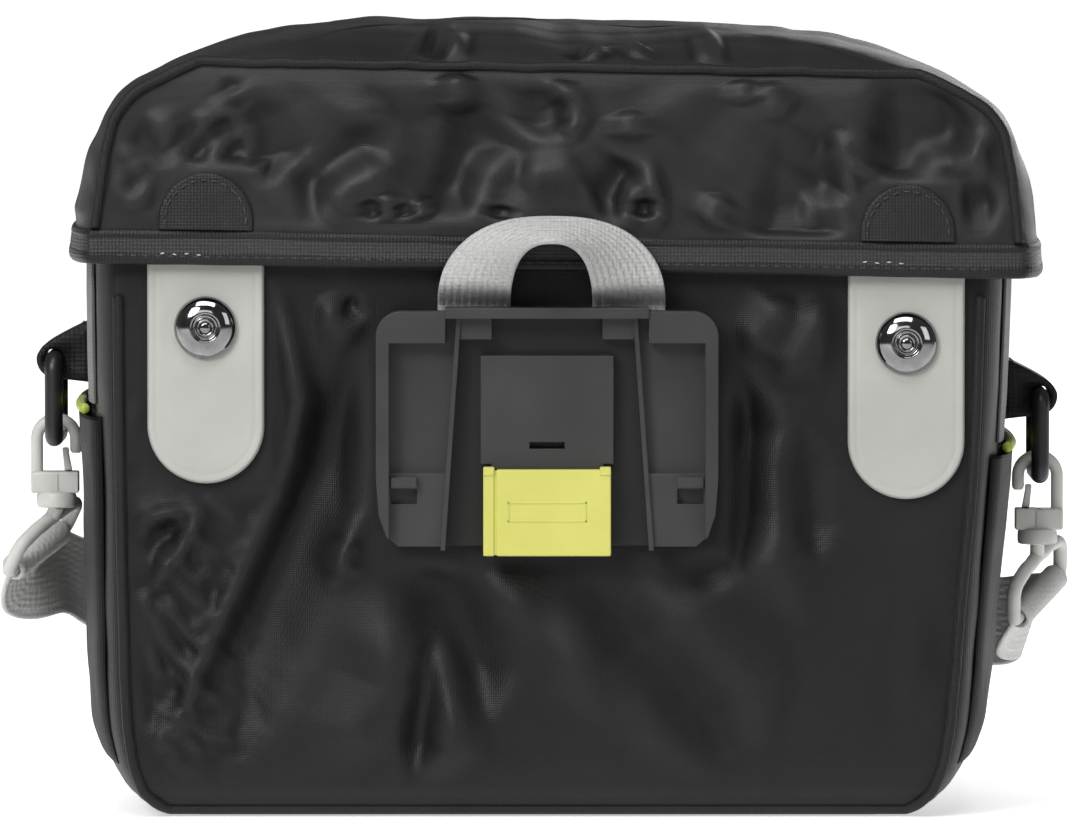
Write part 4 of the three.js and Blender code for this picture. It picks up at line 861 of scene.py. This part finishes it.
def makePatch(side):
    hand, foot, half = hands[side], patch["foot"], patch["half"]
    far, widths = tongueRows(patch["height"], half, 20, 18)
    u = acrossTongue(41)
    middle = hand * patch["spacing"] / 2
    x = middle + u * widths[:, None]
    z = foot + np.repeat(far[:, None], len(u), 1)
    wall = -lidAt(z.ravel())[2].reshape(z.shape) - gap
    fromEdge = np.minimum(widths[:, None] * (1 - np.abs(u)), np.maximum(patch["height"] - z + foot, 0))
    thick = patch["cloth"] * (0.25 + 0.75 * edgeRound(fromEdge, 1.4))
    pillow = 0.35 * smooth(2, 7, fromEdge) * (0.6 + 0.4 * clothNoise(x / 8, z / 8, 61 + hand))
    thickPiece(f"patch_{side}", onLid(np.stack([x, wall - thick - pillow, z], -1)),
               onLid(np.stack([x, wall, z], -1)), "patchNylon", slot="black_tape",
               nodes=[f"strap_patch_{side}"])
    # one row of stitches round the patch
    inner = half - patch["seam"]
    arc = [(-inner * math.cos(t), foot + patch["height"] - half + inner * math.sin(t))
           for t in np.linspace(0, math.pi, 18)]
    rim = np.array([(-inner, foot + 0.6), *arc, (inner, foot + 0.6)])
    face = -lidAt(rim[:, 1])[2] - gap - patch["cloth"] - 0.25
    line = np.stack([middle + rim[:, 0], face, rim[:, 1]], 1)
    makeStitches(f"patch_thread_{side}", [onLid(line)], rearward, "darkThread", 2.0, 0.9, 0.2)


for side in hands:
    makePatch(side)


def makeStrap(side):
    centre, end = strap["centres"][side], strap["ends"][side]
    far, widths = tongueRows(strap["top"] - end, strap["half"], 60, 26)
    u = acrossTongue(61)
    x = centre + u * widths[:, None]
    z = strap["top"] - np.repeat(far[:, None], len(u), 1)
    reach = np.hypot(x - centre, np.minimum(z - end - strap["half"], 0))
    fromEdge = np.maximum(strap["half"] - reach, 0)
    thick = strap["cloth"] * edgeRound(fromEdge + 0.02, strap["edge"])
    # stitched welt near the edge and a shallow dish under the stud
    welt = -0.18 * np.exp(-((fromEdge - 2.4) / 0.45) ** 2)
    toStud = np.hypot(x - centre, z - end - strap["studAbove"])
    dish = -0.35 * np.exp(-((toStud - 9.4) / 2.2) ** 2)
    slack = 0.16 * clothNoise(x / 17, z / 21, 71)
    front = strap["back"] - thick - (welt + dish + slack) * (thick / strap["cloth"])
    thickPiece(f"pale_strap_{side}", np.stack([x, front, z], -1),
               np.stack([x, np.full_like(x, strap["back"]), z], -1), "strapSynthetic", slot="pale_synthetic",
               nodes=[f"closing_strap_{side}"])


# turned profile of a press stud: share of its radius, share of its height
studProfile = [
    (0.02, 0.0), (0.93, 0.0), (0.985, 0.03), (1.0, 0.09), (0.99, 0.17), (0.955, 0.3), (0.9, 0.46),
    (0.83, 0.62), (0.74, 0.77), (0.64, 0.89), (0.55, 0.97), (0.49, 1.0), (0.45, 0.985), (0.43, 0.9),
    (0.415, 0.74), (0.38, 0.66), (0.33, 0.65), (0.3, 0.7), (0.28, 0.86), (0.25, 0.93), (0.215, 0.9),
    (0.2, 0.8), (0.185, 0.84), (0.16, 0.97), (0.12, 1.03), (0.07, 1.05), (0.01, 1.06),
]


def makeStud(side):
    centre, height = strap["centres"][side], strap["ends"][side] + strap["studAbove"]
    front = strap["back"] - strap["cloth"] - gap
    fine = smoothLine(studProfile, 110) * (stud["radius"], stud["height"])
    rings = [[(centre + r * math.cos(t), front - h, height + r * math.sin(t)) for t in circle(72)]
             for r, h in fine]
    ringPiece(f"stud_{side}", rings, "chrome", slot="chrome", nodes=[f"press_stud_{side}"])


for side in hands:
    makeStrap(side)
    makeStud(side)
print("patches, straps and studs made")

# adapter plate: the frame's own solid with a moulded finish
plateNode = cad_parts["adapter_plate"]
plateNode.data.materials.clear()
plateNode.data.materials.append(finishes["darkPlastic"])


# release button: a cap with soft edges, cheeks, nubs and a plain raised frame
button = {"half": 17.1, "bottom": 71.4, "height": 23.2, "face": 7.7, "cap": 3.4, "nub": 0.7,
          "groove": 3.0, "rim": 0.45,
          # half width and half height of the raised frame, width of its bars, its middle above the bottom
          "frame": (10.6, 2.7, 0.5, 11.9)}


# verts and faces of a shape with its edges rounded
def rounded(work, radius, segments):
    bmesh.ops.bevel(work, geom=work.edges[:], offset=radius, segments=segments, profile=0.5, affect="EDGES")
    verts = [tuple(v.co) for v in work.verts]
    faces = [tuple(v.index for v in f.verts) for f in work.faces]
    work.free()
    return verts, faces


# a box with rounded edges, from its corners
def softBox(low, high, radius, segments=3):
    work = bmesh.new()
    bmesh.ops.create_cube(work, size=1)
    low, high = Vector(low), Vector(high)
    for vert in work.verts:
        vert.co = vert.co * (high - low) + (high + low) / 2
    return rounded(work, radius, segments)


def joinParts(parts):
    verts, faces = [], []
    for partVerts, partFaces in parts:
        first = len(verts)
        verts += [tuple(v) for v in partVerts]
        faces += [tuple(first + i for i in f) for f in partFaces]
    return verts, faces


def makeButton():
    wall = strap["back"] - button["face"]
    front = wall - button["cap"]
    half, bottom, rim = button["half"], button["bottom"], button["rim"]
    top = bottom + button["height"]
    grooveLeft = -half + button["groove"]
    grooveRight = grooveLeft + 0.6
    parts = [
        softBox((-half, front, bottom), (grooveLeft, wall, top), rim),
        softBox((grooveRight, front, bottom), (half, wall, top), rim),
        softBox((grooveLeft - 1, front + 0.5, bottom + 0.3), (grooveRight + 1, wall, top - 0.3), 0.1, 2),
    ]
    for hand in hands.values():
        x0, x1 = sorted((hand * half, hand * (half - button["groove"])))
        parts.append(softBox((x0, front - 0.4, top - 1.6), (x1, wall, top + button["nub"]), 0.4))
        x0, x1 = sorted((hand * half, hand * (half - 1.8)))
        parts.append(softBox((x0, wall + 0.01, bottom + 0.2), (x1, wall + 2.2, top - 3.0), 0.3))
    # plain raised frame in the middle of the face
    w, h, bar, middle = button["frame"]
    z = bottom + middle
    for x0, z0, x1, z1 in ((-w, -h, w, -h + bar), (-w, h - bar, w, h), (-w, -h, -w + bar, h),
                           (w - bar, -h, w, h)):
        parts.append(softBox((x0, front - 0.16, z + z0), (x1, front + 0.3, z + z1), 0.08, 2))
    linkPiece("button_cap", *joinParts(parts), "yellowPlastic", body="button", slot="yellow_plastic",
              nodes=["release_button"], smooth=False)


makeButton()
print("plate and button finished")

# grab handle: ribbed webbing that comes up from behind the plate and turns its face up
handle = {"width": 19.6, "cloth": 1.8, "outer": 30.4, "inner": 11.1, "rise": 23.8, "innerRise": 18.2,
          "forward": 8.2, "shift": 1.2, "base": 138.0, "foot": 128.8, "ribs": 10, "ribDepth": 0.34}


# a band between pairs of edge points, with ribs along it and soft edges
def ribbedBand(name, pairs, webbing, finish, columns=66, **rest):
    pairs = np.asarray(pairs, float)
    across = pairs[:, 1] - pairs[:, 0]
    face = unit(np.cross(np.gradient(pairs.mean(1), axis=0), across))
    u = np.linspace(0, 1, columns)
    fromEdge = np.minimum(u, 1 - u)
    soft = 0.35 + 0.65 * edgeRound(fromEdge, 0.04)
    furrow = 0.5 + 0.5 * np.cos(2 * math.pi * webbing["ribs"] * u)
    half = webbing["cloth"] / 2 * soft - webbing["ribDepth"] * furrow * (fromEdge > 0.02)
    centre = pairs[:, :1] + across[:, None] * u[:, None]
    push = face[:, None] * half[:, None]
    return thickPiece(name, centre + push, centre - push, finish, **rest)


def makeHandle():
    base, flat = handle["base"], strap["back"] - handle["cloth"] / 2

    def edge(angle, half, rise):
        x = handle["shift"] - half * math.copysign(abs(math.cos(angle)) ** 0.8, math.cos(angle))
        z = base + rise * max(math.sin(angle), 0) ** 0.85
        lift = float(smooth(base, base + handle["rise"] * 0.3, z))
        return np.array((x, flat - handle["forward"] * lift, z))

    # the band keeps its width: what the flat outline hasn't room for stands out forwards
    inset = (handle["outer"] - handle["inner"] - handle["width"]) / 2
    pairs = []
    for angle in np.linspace(0, math.pi, 131):
        outer = edge(angle, handle["outer"] - inset, handle["rise"])
        inner = edge(angle, handle["inner"] + inset, handle["innerRise"])
        spare = handle["width"] ** 2 - float(((outer - inner) ** 2).sum())
        inner[1] -= math.sqrt(max(spare, 0))
        pairs.append((outer, inner))
    feet = np.linspace(handle["foot"], base, 9)[:-1]
    first, last = ([tuple(np.array((*p[:2], z)) for p in pair) for z in feet]
                   for pair in (pairs[0], pairs[-1]))
    ribbedBand("handle_webbing", first + pairs + last[::-1], handle, "handleWebbing", slot="pale_webbing",
               nodes=["grab_handle"])


makeHandle()
print("handle made")

# side pockets: cloth that stands off the side wall, piped at the mouth
pocket = {"bottom": 14, "bulgeTop": 4, "bulgeBottom": 1.8, "cloth": 1.2, "reach": 0.9,
          "wrinkle": 0.6, "pipingHalf": 56.7,
          "mouths": {"left": 107.5, "right": 97}}
strip = {"width": 17, "fromSeam": 15, "cloth": 0.9, "top": 160}


# a place on the side wall, standing off it by a distance
def sidePoint(hand, y, z, off):
    seam, side, depth, centre = (v.reshape(np.shape(z)) for v in bodyAt(np.ravel(z)))
    x = centre + hand * (seam + (side + off - seam) * sideBulge(np.clip(np.abs(y) / depth, 0, 1)))
    return np.stack(np.broadcast_arrays(x, y, z), -1)


# how far the pocket stands off the wall at a height
def pocketBulge(z):
    share = (z - pocket["bottom"]) / (pocket["mouths"]["left"] - pocket["bottom"])
    return pocket["bulgeBottom"] + (pocket["bulgeTop"] - pocket["bulgeBottom"]) * share


def makePocket(side):
    hand, mouth, bottom = hands[side], pocket["mouths"][side], pocket["bottom"]
    reach = bodyShape["depthHalf"] * pocket["reach"]
    y, z = np.broadcast_arrays(reach * acrossTongue(110), np.linspace(bottom, mouth, 90)[:, None])
    ends = edgeRound(reach - np.abs(y) + 0.05, 5) * edgeRound(z - bottom + 0.05, 4)
    crease = clothNoise(y / 14, z / 22, 81 + hand) * 0.7 + clothNoise(y / 6, z / 11, 83) * 0.3
    calm = smooth(0, 10, reach - np.abs(y)) * smooth(0, 12, z - bottom) * smooth(0, 8, mouth - z)
    off = gap + (pocketBulge(z) - gap) * ends + pocket["wrinkle"] * crease * calm
    thickPiece(f"pocket_{side}", sidePoint(hand, y, z, off),
               sidePoint(hand, y, z, np.maximum(off - pocket["cloth"], 0.15)), "pocketNylon",
               slot="body_cloth", nodes=[f"side_pocket_{side}"])
    line = sidePoint(hand, np.linspace(-1, 1, 90) * pocket["pipingHalf"],
                     np.full(90, mouth + gap + piping["radius"]), pocketBulge(mouth) - pocket["cloth"] / 2)
    ringPiece(f"lime_piping_{side}", rodRings(line, piping["radius"], 12), "limePiping", slot="lime_piping",
              nodes=[f"pocket_piping_{side}"])


def makeStrip(side):
    hand, start = hands[side], -bodyShape["depthHalf"] + strip["fromSeam"]
    low = pocket["mouths"][side] + 2 * (gap + piping["radius"])
    y, z = np.broadcast_arrays(np.linspace(start, start + strip["width"], 30),
                               np.linspace(low, strip["top"], 80)[:, None])
    edge = edgeRound(np.minimum(y - start, start + strip["width"] - y) + 0.05, 0.9)
    off = gap + 0.15 + strip["cloth"] * edge + 0.12 * clothNoise(y / 5, z / 7, 91)
    thickPiece(f"grey_strip_{side}", sidePoint(hand, y, z, off), sidePoint(hand, y, z, np.full_like(z, gap)),
               "greyTape", slot="grey_tape", nodes=[f"side_strip_{side}"])


for side in hands:
    makePocket(side)
    makeStrip(side)
print("pockets and strips made")

# rings on webbing tabs
tab = {"width": 22, "cloth": 2, "root": 17.5, "reach": 10.6, "sunk": 1.2,
       "heights": {"left": 122.4, "right": 112.2}, "ribs": 9, "ribDepth": 0.16,
       # side line past the base, as shares of the outer radius round the bar
       "nose": [(0.45, 0.9), (0.8, 0.55), (1, 0.1), (0.9, -0.45), (0.6, -0.82), (0.15, -1)]}
ring = {"halfWidth": 15, "height": 21.5, "rod": 2.5, "corner": 3.2}


def ringTop(side):
    height = tab["heights"][side]
    _, sideHalf, _, centre = (v[0] for v in bodyAt([height]))
    return np.array((centre + hands[side] * (sideHalf + tab["reach"]), 0.0, height - tab["cloth"]))


def makeTab(side):
    hand, bar = hands[side], ringTop(side)
    height, half = tab["heights"][side], tab["root"] / 2
    wall = bar[0] - hand * (tab["reach"] + tab["sunk"])
    hole = ring["rod"] + 1.5 * gap
    outer = hole + tab["cloth"]
    corners = [(wall, 0, height + half), (wall + hand * 2, 0, height + half - 0.2)]
    corners += [(bar[0] + hand * a * outer, 0, bar[2] + b * outer) for a, b in tab["nose"]]
    corners += [(wall + hand * 2, 0, height - half + 0.4), (wall, 0, height - half)]
    line = evenly(smoothLine(corners, 160), 110)
    line = np.concatenate([line, np.linspace(line[-1], line[0], 12)[1:-1]])
    # from the outer face of the folded webbing to the hole round the bar, both ends of it closed
    inward = unit(bar - line)
    u = np.linspace(0, 1, 56)
    fromEdge = np.minimum(u, 1 - u)
    sunk = 0.7 * (1 - edgeRound(fromEdge + 0.002, 0.035))
    sunk = sunk + tab["ribDepth"] * (0.5 + 0.5 * np.cos(2 * math.pi * tab["ribs"] * u)) * (fromEdge > 0.03)
    y = (u - 0.5)[:, None] * (0, tab["width"], 0)
    face = line[:, None] + inward[:, None] * sunk[:, None] + y
    hollow = (bar - inward * hole)[:, None] + y[::-11]
    ringPiece(f"tab_{side}", np.concatenate([face, hollow], 1), "tabWebbing", closed=True, slot="black_tape",
              nodes=[f"ring_tab_{side}"])
    # cross stitches near the wall, on the upper face
    x, reach = bar[0] - hand * (tab["reach"] - 3.2), tab["width"] / 2 - 1.5
    up = np.interp(x * hand, line[:20, 0] * hand, line[:20, 2])
    row = [(x, -reach, up), (x, reach, up)]
    makeStitches(f"tab_thread_{side}", [row], (0, 0, 1), "darkThread", 2.0, 0.9, 0.24)


def roundedLoop(halfWidth, halfHeight, corner, steps=10, straight=6):
    arcs = []
    for quarter, (sx, sy) in enumerate(((1, 1), (-1, 1), (-1, -1), (1, -1))):
        angles = (quarter + np.arange(steps + 1) / steps) * math.pi / 2
        arcs.append(np.stack([sx * (halfWidth - corner) + corner * np.cos(angles),
                              sy * (halfHeight - corner) + corner * np.sin(angles)], 1))
    joins = [np.linspace(arc[-1], after[0], straight + 1)[1:-1]
             for arc, after in zip(arcs, arcs[1:] + arcs[:1])]
    return np.concatenate([part for pair in zip(arcs, joins) for part in pair])


def makeRing(side):
    top = ringTop(side)
    line = [(top[0], a, top[2] - ring["height"] / 2 + b)
            for a, b in roundedLoop(ring["halfWidth"], ring["height"] / 2, ring["corner"])]
    ringPiece(f"ring_{side}", rodRings(line, ring["rod"], 18, True), "blackPlastic", closed=True,
              slot="black_plastic", nodes=[f"strap_ring_{side}"])


# snap hooks with their gates, and the swivel eyes that carry the strap
hook = {"radius": 5.4, "rod": 1.7, "throat": 9, "shank": 6, "shankHalf": 6.2, "depthHalf": 3.5, "collar": 5.5,
        "collarLength": 4, "nose": 4, "gateWidth": 2.2, "gateDepth": 2.8, "overlap": 1.5, "pin": 0.7}
eye = {"length": 17, "half": 14.9, "rod": 1.95, "stem": 2,
       "ways": {"left": ((-0.36, 0.58, -0.74), (-0.45, -0.78, -0.3)),
                "right": ((0.02, 0.45, -0.89), (-0.45, -0.74, -0.4))}}
collarBottom = -hook["throat"] - hook["shank"] - hook["collarLength"]
gatePin = (hook["gateWidth"] * 1.6, -hook["throat"] - hook["gateWidth"] * 0.65)


# the middle of the hook's arc, round which all its parts are given
def hookOrigin(side):
    top = ringTop(side)
    inArc = hook["radius"] - hook["rod"] - ring["rod"] - gap
    return np.array((top[0], 0, top[2] - ring["height"] - inArc))


# verts and faces of a skin through rings, with flat ends
def skin(rings):
    rings = np.asarray(rings, float)
    count, sides = rings.shape[:2]
    faces = gridFaces(count, sides, True)
    faces += [tuple(range(sides)), tuple((count - 1) * sides + s for s in range(sides))]
    return rings.reshape(-1, 3), faces


# a turned part: a profile of (radius, height) round a line straight up
def turned(profile, sides):
    return skin([[(r * math.cos(t), r * math.sin(t), z) for t in circle(sides)] for r, z in profile])


def closedRod(line, radius, sides=16):
    return skin(rodRings(line, radius, sides))


# parts of a hook, turned so that its gate looks at the bag, and set on its place
def linkHookPart(name, parts, side, **rest):
    flip = -hands[side]
    verts, faces = joinParts(parts)
    verts = np.array(verts) * (flip, flip, 1) + hookOrigin(side)
    shadeByAngle(linkPiece(name, verts, faces, "palePlastic", slot="pale_plastic", **rest), 38)


def makeHook(side):
    r, top = hook["radius"], -hook["throat"]
    foot, depth, half = top - hook["shank"], hook["depthHalf"], hook["shankHalf"]
    line = [(-r, 0, top - 1.5), (-r, 0, -6), (-r, 0, -3)]
    line += [(-r * math.cos(t), 0, r * math.sin(t)) for t in np.linspace(0, math.pi, 26)]
    line += [(r, 0, -1.5), (r, 0, -hook["nose"] + 0.8), (r, 0, -hook["nose"])]
    sizes = np.full(60, hook["rod"])
    sizes[-3:] *= (0.98, 0.9, 0.62)
    pinX, pinZ = gatePin
    slot = hook["gateDepth"] / 2 + gap
    c, low, neck = hook["collar"], collarBottom, 2.6
    linkHookPart(f"hook_{side}", [
        closedRod(evenly(line, len(sizes)), sizes),
        # the shank is two cheeks beside the gate's slot, and a solid half
        softBox((-half - 0.8, -depth, foot), (pinX - hook["gateWidth"], depth, top), 0.7),
        softBox((0, -depth, foot), (half, -slot, top), 0.45),
        softBox((0, slot, foot), (half, depth, top), 0.45),
        softBox((0, -depth + 0.4, foot), (half - 0.2, depth - 0.4, foot + 2.2), 0.45),
        turned([(neck, low), (c - 0.8, low), (c - 0.2, low + 0.25), (c, low + 0.9), (c, foot - 0.7),
                (c - 0.4, foot + 0.1), (c - 1.4, foot + 0.5), (neck, foot + 0.5)], 44),
        closedRod([(pinX, y, pinZ) for y in (-depth + 0.6, 0, depth - 0.6)], hook["pin"]),
    ], side, nodes=[f"snap_hook_{side}"])


# edges sharper than a limit in degrees are drawn sharp
def shadeByAngle(piece, limit):
    work = bmesh.new()
    work.from_mesh(piece.data)
    for edge in work.edges:
        if len(edge.link_faces) == 2 and edge.calc_face_angle(0) > math.radians(limit):
            edge.smooth = False
    work.to_mesh(piece.data)
    work.free()


def makeGate(side):
    w, d = hook["gateWidth"], hook["gateDepth"] / 2
    pinX, pinZ = gatePin
    tipTop = -hook["nose"] + hook["overlap"]
    tipOut = hook["radius"] - hook["rod"] - gap
    outline = [(pinX - w / 2, pinZ), (pinX + w / 2, pinZ), (tipOut, tipTop - hook["overlap"]),
               (tipOut, tipTop - 0.3), (tipOut - 0.3, tipTop), (tipOut - w * 0.7, tipTop),
               (tipOut - w * 0.8, tipTop - 0.3)]
    work = bmesh.new()
    face = work.faces.new([work.verts.new((x, -d, z)) for x, z in outline])
    for part in bmesh.ops.extrude_face_region(work, geom=[face])["geom"]:
        if isinstance(part, bmesh.types.BMVert):
            part.co.y = d
    knuckle = closedRod([(pinX, y, pinZ) for y in (-d, 0, d)], w * 0.8, 24)
    linkHookPart(f"gate_lever_{side}", [rounded(work, 0.22, 2), knuckle], side, body=f"gate_{side}",
                 nodes=[f"hook_gate_{side}"])


# where an eye hangs, and its ways: along its bar, up its stem, and across both
def eyeFrame(side):
    foot = hookOrigin(side) + (0, 0, collarBottom)
    down, bar = (np.array(v, float) for v in eye["ways"][side])
    up = -unit(down)
    bar = squared(bar, up)
    return foot, bar, up, np.cross(bar, up)


def inEye(side, points):
    foot, *ways = eyeFrame(side)
    return foot + np.asarray(points, float) @ np.array(ways)


def makeEye(side):
    h, n, rodSides = eye["half"], eye["length"], 16
    right = [(h - 4.5, -n), (h - 1.8, -n + 0.05), (h - 0.4, -n + 0.5), (h, -n + 1.9), (h, -n * 0.75),
             (h, -n * 0.5), (h - 1.6, -n * 0.36), (h * 0.5, -n * 0.26), (4, -4.6), (1.6, -4.1)]
    corners = np.array(right + [(-x, y) for x, y in reversed(right)])
    loop = np.concatenate([np.linspace(a, b, 6, endpoint=False)
                           for a, b in zip(corners, np.roll(corners, -1, 0))])
    for _ in range(3):
        loop = (np.roll(loop, 1, 0) + 2 * loop + np.roll(loop, -1, 0)) / 4
    rings = rodRings(inEye(side, np.pad(loop, ((0, 0), (0, 1)))), eye["rod"], rodSides, True)
    stem = closedRod(inEye(side, [(0, -4.6, 0), (0, -2, 0), (0, 0.9, 0)]), eye["stem"], 24)
    verts, faces = joinParts([(rings.reshape(-1, 3), gridFaces(len(rings), rodSides, True, True)), stem])
    shadeByAngle(linkPiece(f"eye_{side}", verts, faces, "palePlastic", slot="pale_plastic",
                           nodes=[f"swivel_eye_{side}"]), 50)


for side in hands:
    makeTab(side)
    makeRing(side)
    makeHook(side)
    makeGate(side)
    makeEye(side)
print("rings, hooks and eyes made")

# shoulder strap: webbing from one eye to the other, its slack on edge behind the bag
belt = {"width": 25, "cloth": 1.5, "loopHalf": 92, "reach": 290, "floor": 0.2, "lead": 9, "touchdown": 2.1,
        "ribs": 12, "ribDepth": 0.12, "lines": (7, 51), "columns": 60, "foldFrom": -78, "foldTo": 258,
        # x and y as shares of the body's half sizes, fall below the eye's bar, and the way of its width
        "ways": {
            "left": [(1.09, 0.42, 7, (-0.2, -0.1, 0.95)), (1.04, 0.72, 12, (-0.1, 0, 1)),
                     (0.96, 1.15, 19, (-0.05, 0, 1))],
            "right": [(1.08, 0.4, 7, (0.3, 0.3, 0.9)), (1.04, 0.68, 10, (0.1, 0, 1)),
                      (0.96, 1.15, 15, (0, 0, 1))],
        }}
beltStand = belt["floor"] + belt["width"] / 2


# from an eye's bar to the floor behind the bag: the bar's way, and rows of a place and the width's way
def beltEnd(side):
    hand = hands[side]
    foot, bar, up, _ = eyeFrame(side)
    bar = bar * math.copysign(1, bar[2])
    middle = foot - up * eye["length"]
    rows = []
    for x, y, fall, turn in belt["ways"][side]:
        place = np.array((hand * x * bodyShape["sideHalf"], y * bodyShape["depthHalf"], middle[2] - fall))
        rows.append((place, unit(turn)))
    lead = belt["lead"] * squared(rows[0][0] - middle, bar)
    touchdown = np.array((hand * belt["loopHalf"], belt["touchdown"] * bodyShape["depthHalf"], beltStand))
    return bar, [(middle, bar), (middle + lead, bar), *rows, (touchdown, np.array((0, 0, 1.0)))]


def beltLine(count):
    bend = []
    for angle in np.linspace(math.pi, 0, 6):
        place = np.array((math.cos(angle), math.sin(angle), 0)) * belt["loopHalf"]
        bend.append((place + (0, belt["reach"], beltStand), np.array((0, 0, 1.0))))
    rows = beltEnd("left")[1] + bend + beltEnd("right")[1][::-1]
    places, turns = (smoothLine(column, count) for column in zip(*rows))
    along = unit(np.gradient(places, axis=0))
    turns -= along * (turns * along).sum(1, keepdims=True)
    places[:, 2] = np.maximum(places[:, 2], beltStand)
    return places, unit(turns) * belt["width"] / 2


def makeBelt():
    places, turns = beltLine(400)
    pairs = np.stack([places - turns, places + turns], 1)
    webbing = ribbedBand("belt_webbing", pairs, belt, "beltWebbing", belt["columns"], slot="strap_webbing",
                         nodes=["shoulder_strap"])
    webbing.data.materials.append(finishes["beltEdge"])
    across = belt["columns"] - 1
    for polygon in webbing.data.polygons[:2 * (len(pairs) - 1) * across]:
        if polygon.index % across in belt["lines"]:
            polygon.material_index = 1
    # the folded ends, sewn round each eye's bar
    for side in hands:
        bar, rows = beltEnd(side)
        middle, lead = rows[0][0], unit(rows[1][0] - rows[0][0])
        radius = eye["rod"] + gap + belt["cloth"] / 2
        pairs = []
        for angle in np.radians(np.linspace(belt["foldFrom"], belt["foldTo"], 40)):
            point = middle + radius * (-math.sin(angle) * lead + math.cos(angle) * np.cross(lead, bar))
            pairs.append((point - bar * belt["width"] / 2, point + bar * belt["width"] / 2))
        ribbedBand(f"belt_fold_{side}", pairs, belt, "beltWebbing", 40, slot="strap_webbing")


makeBelt()
print("shoulder strap made")

print("scene ready")
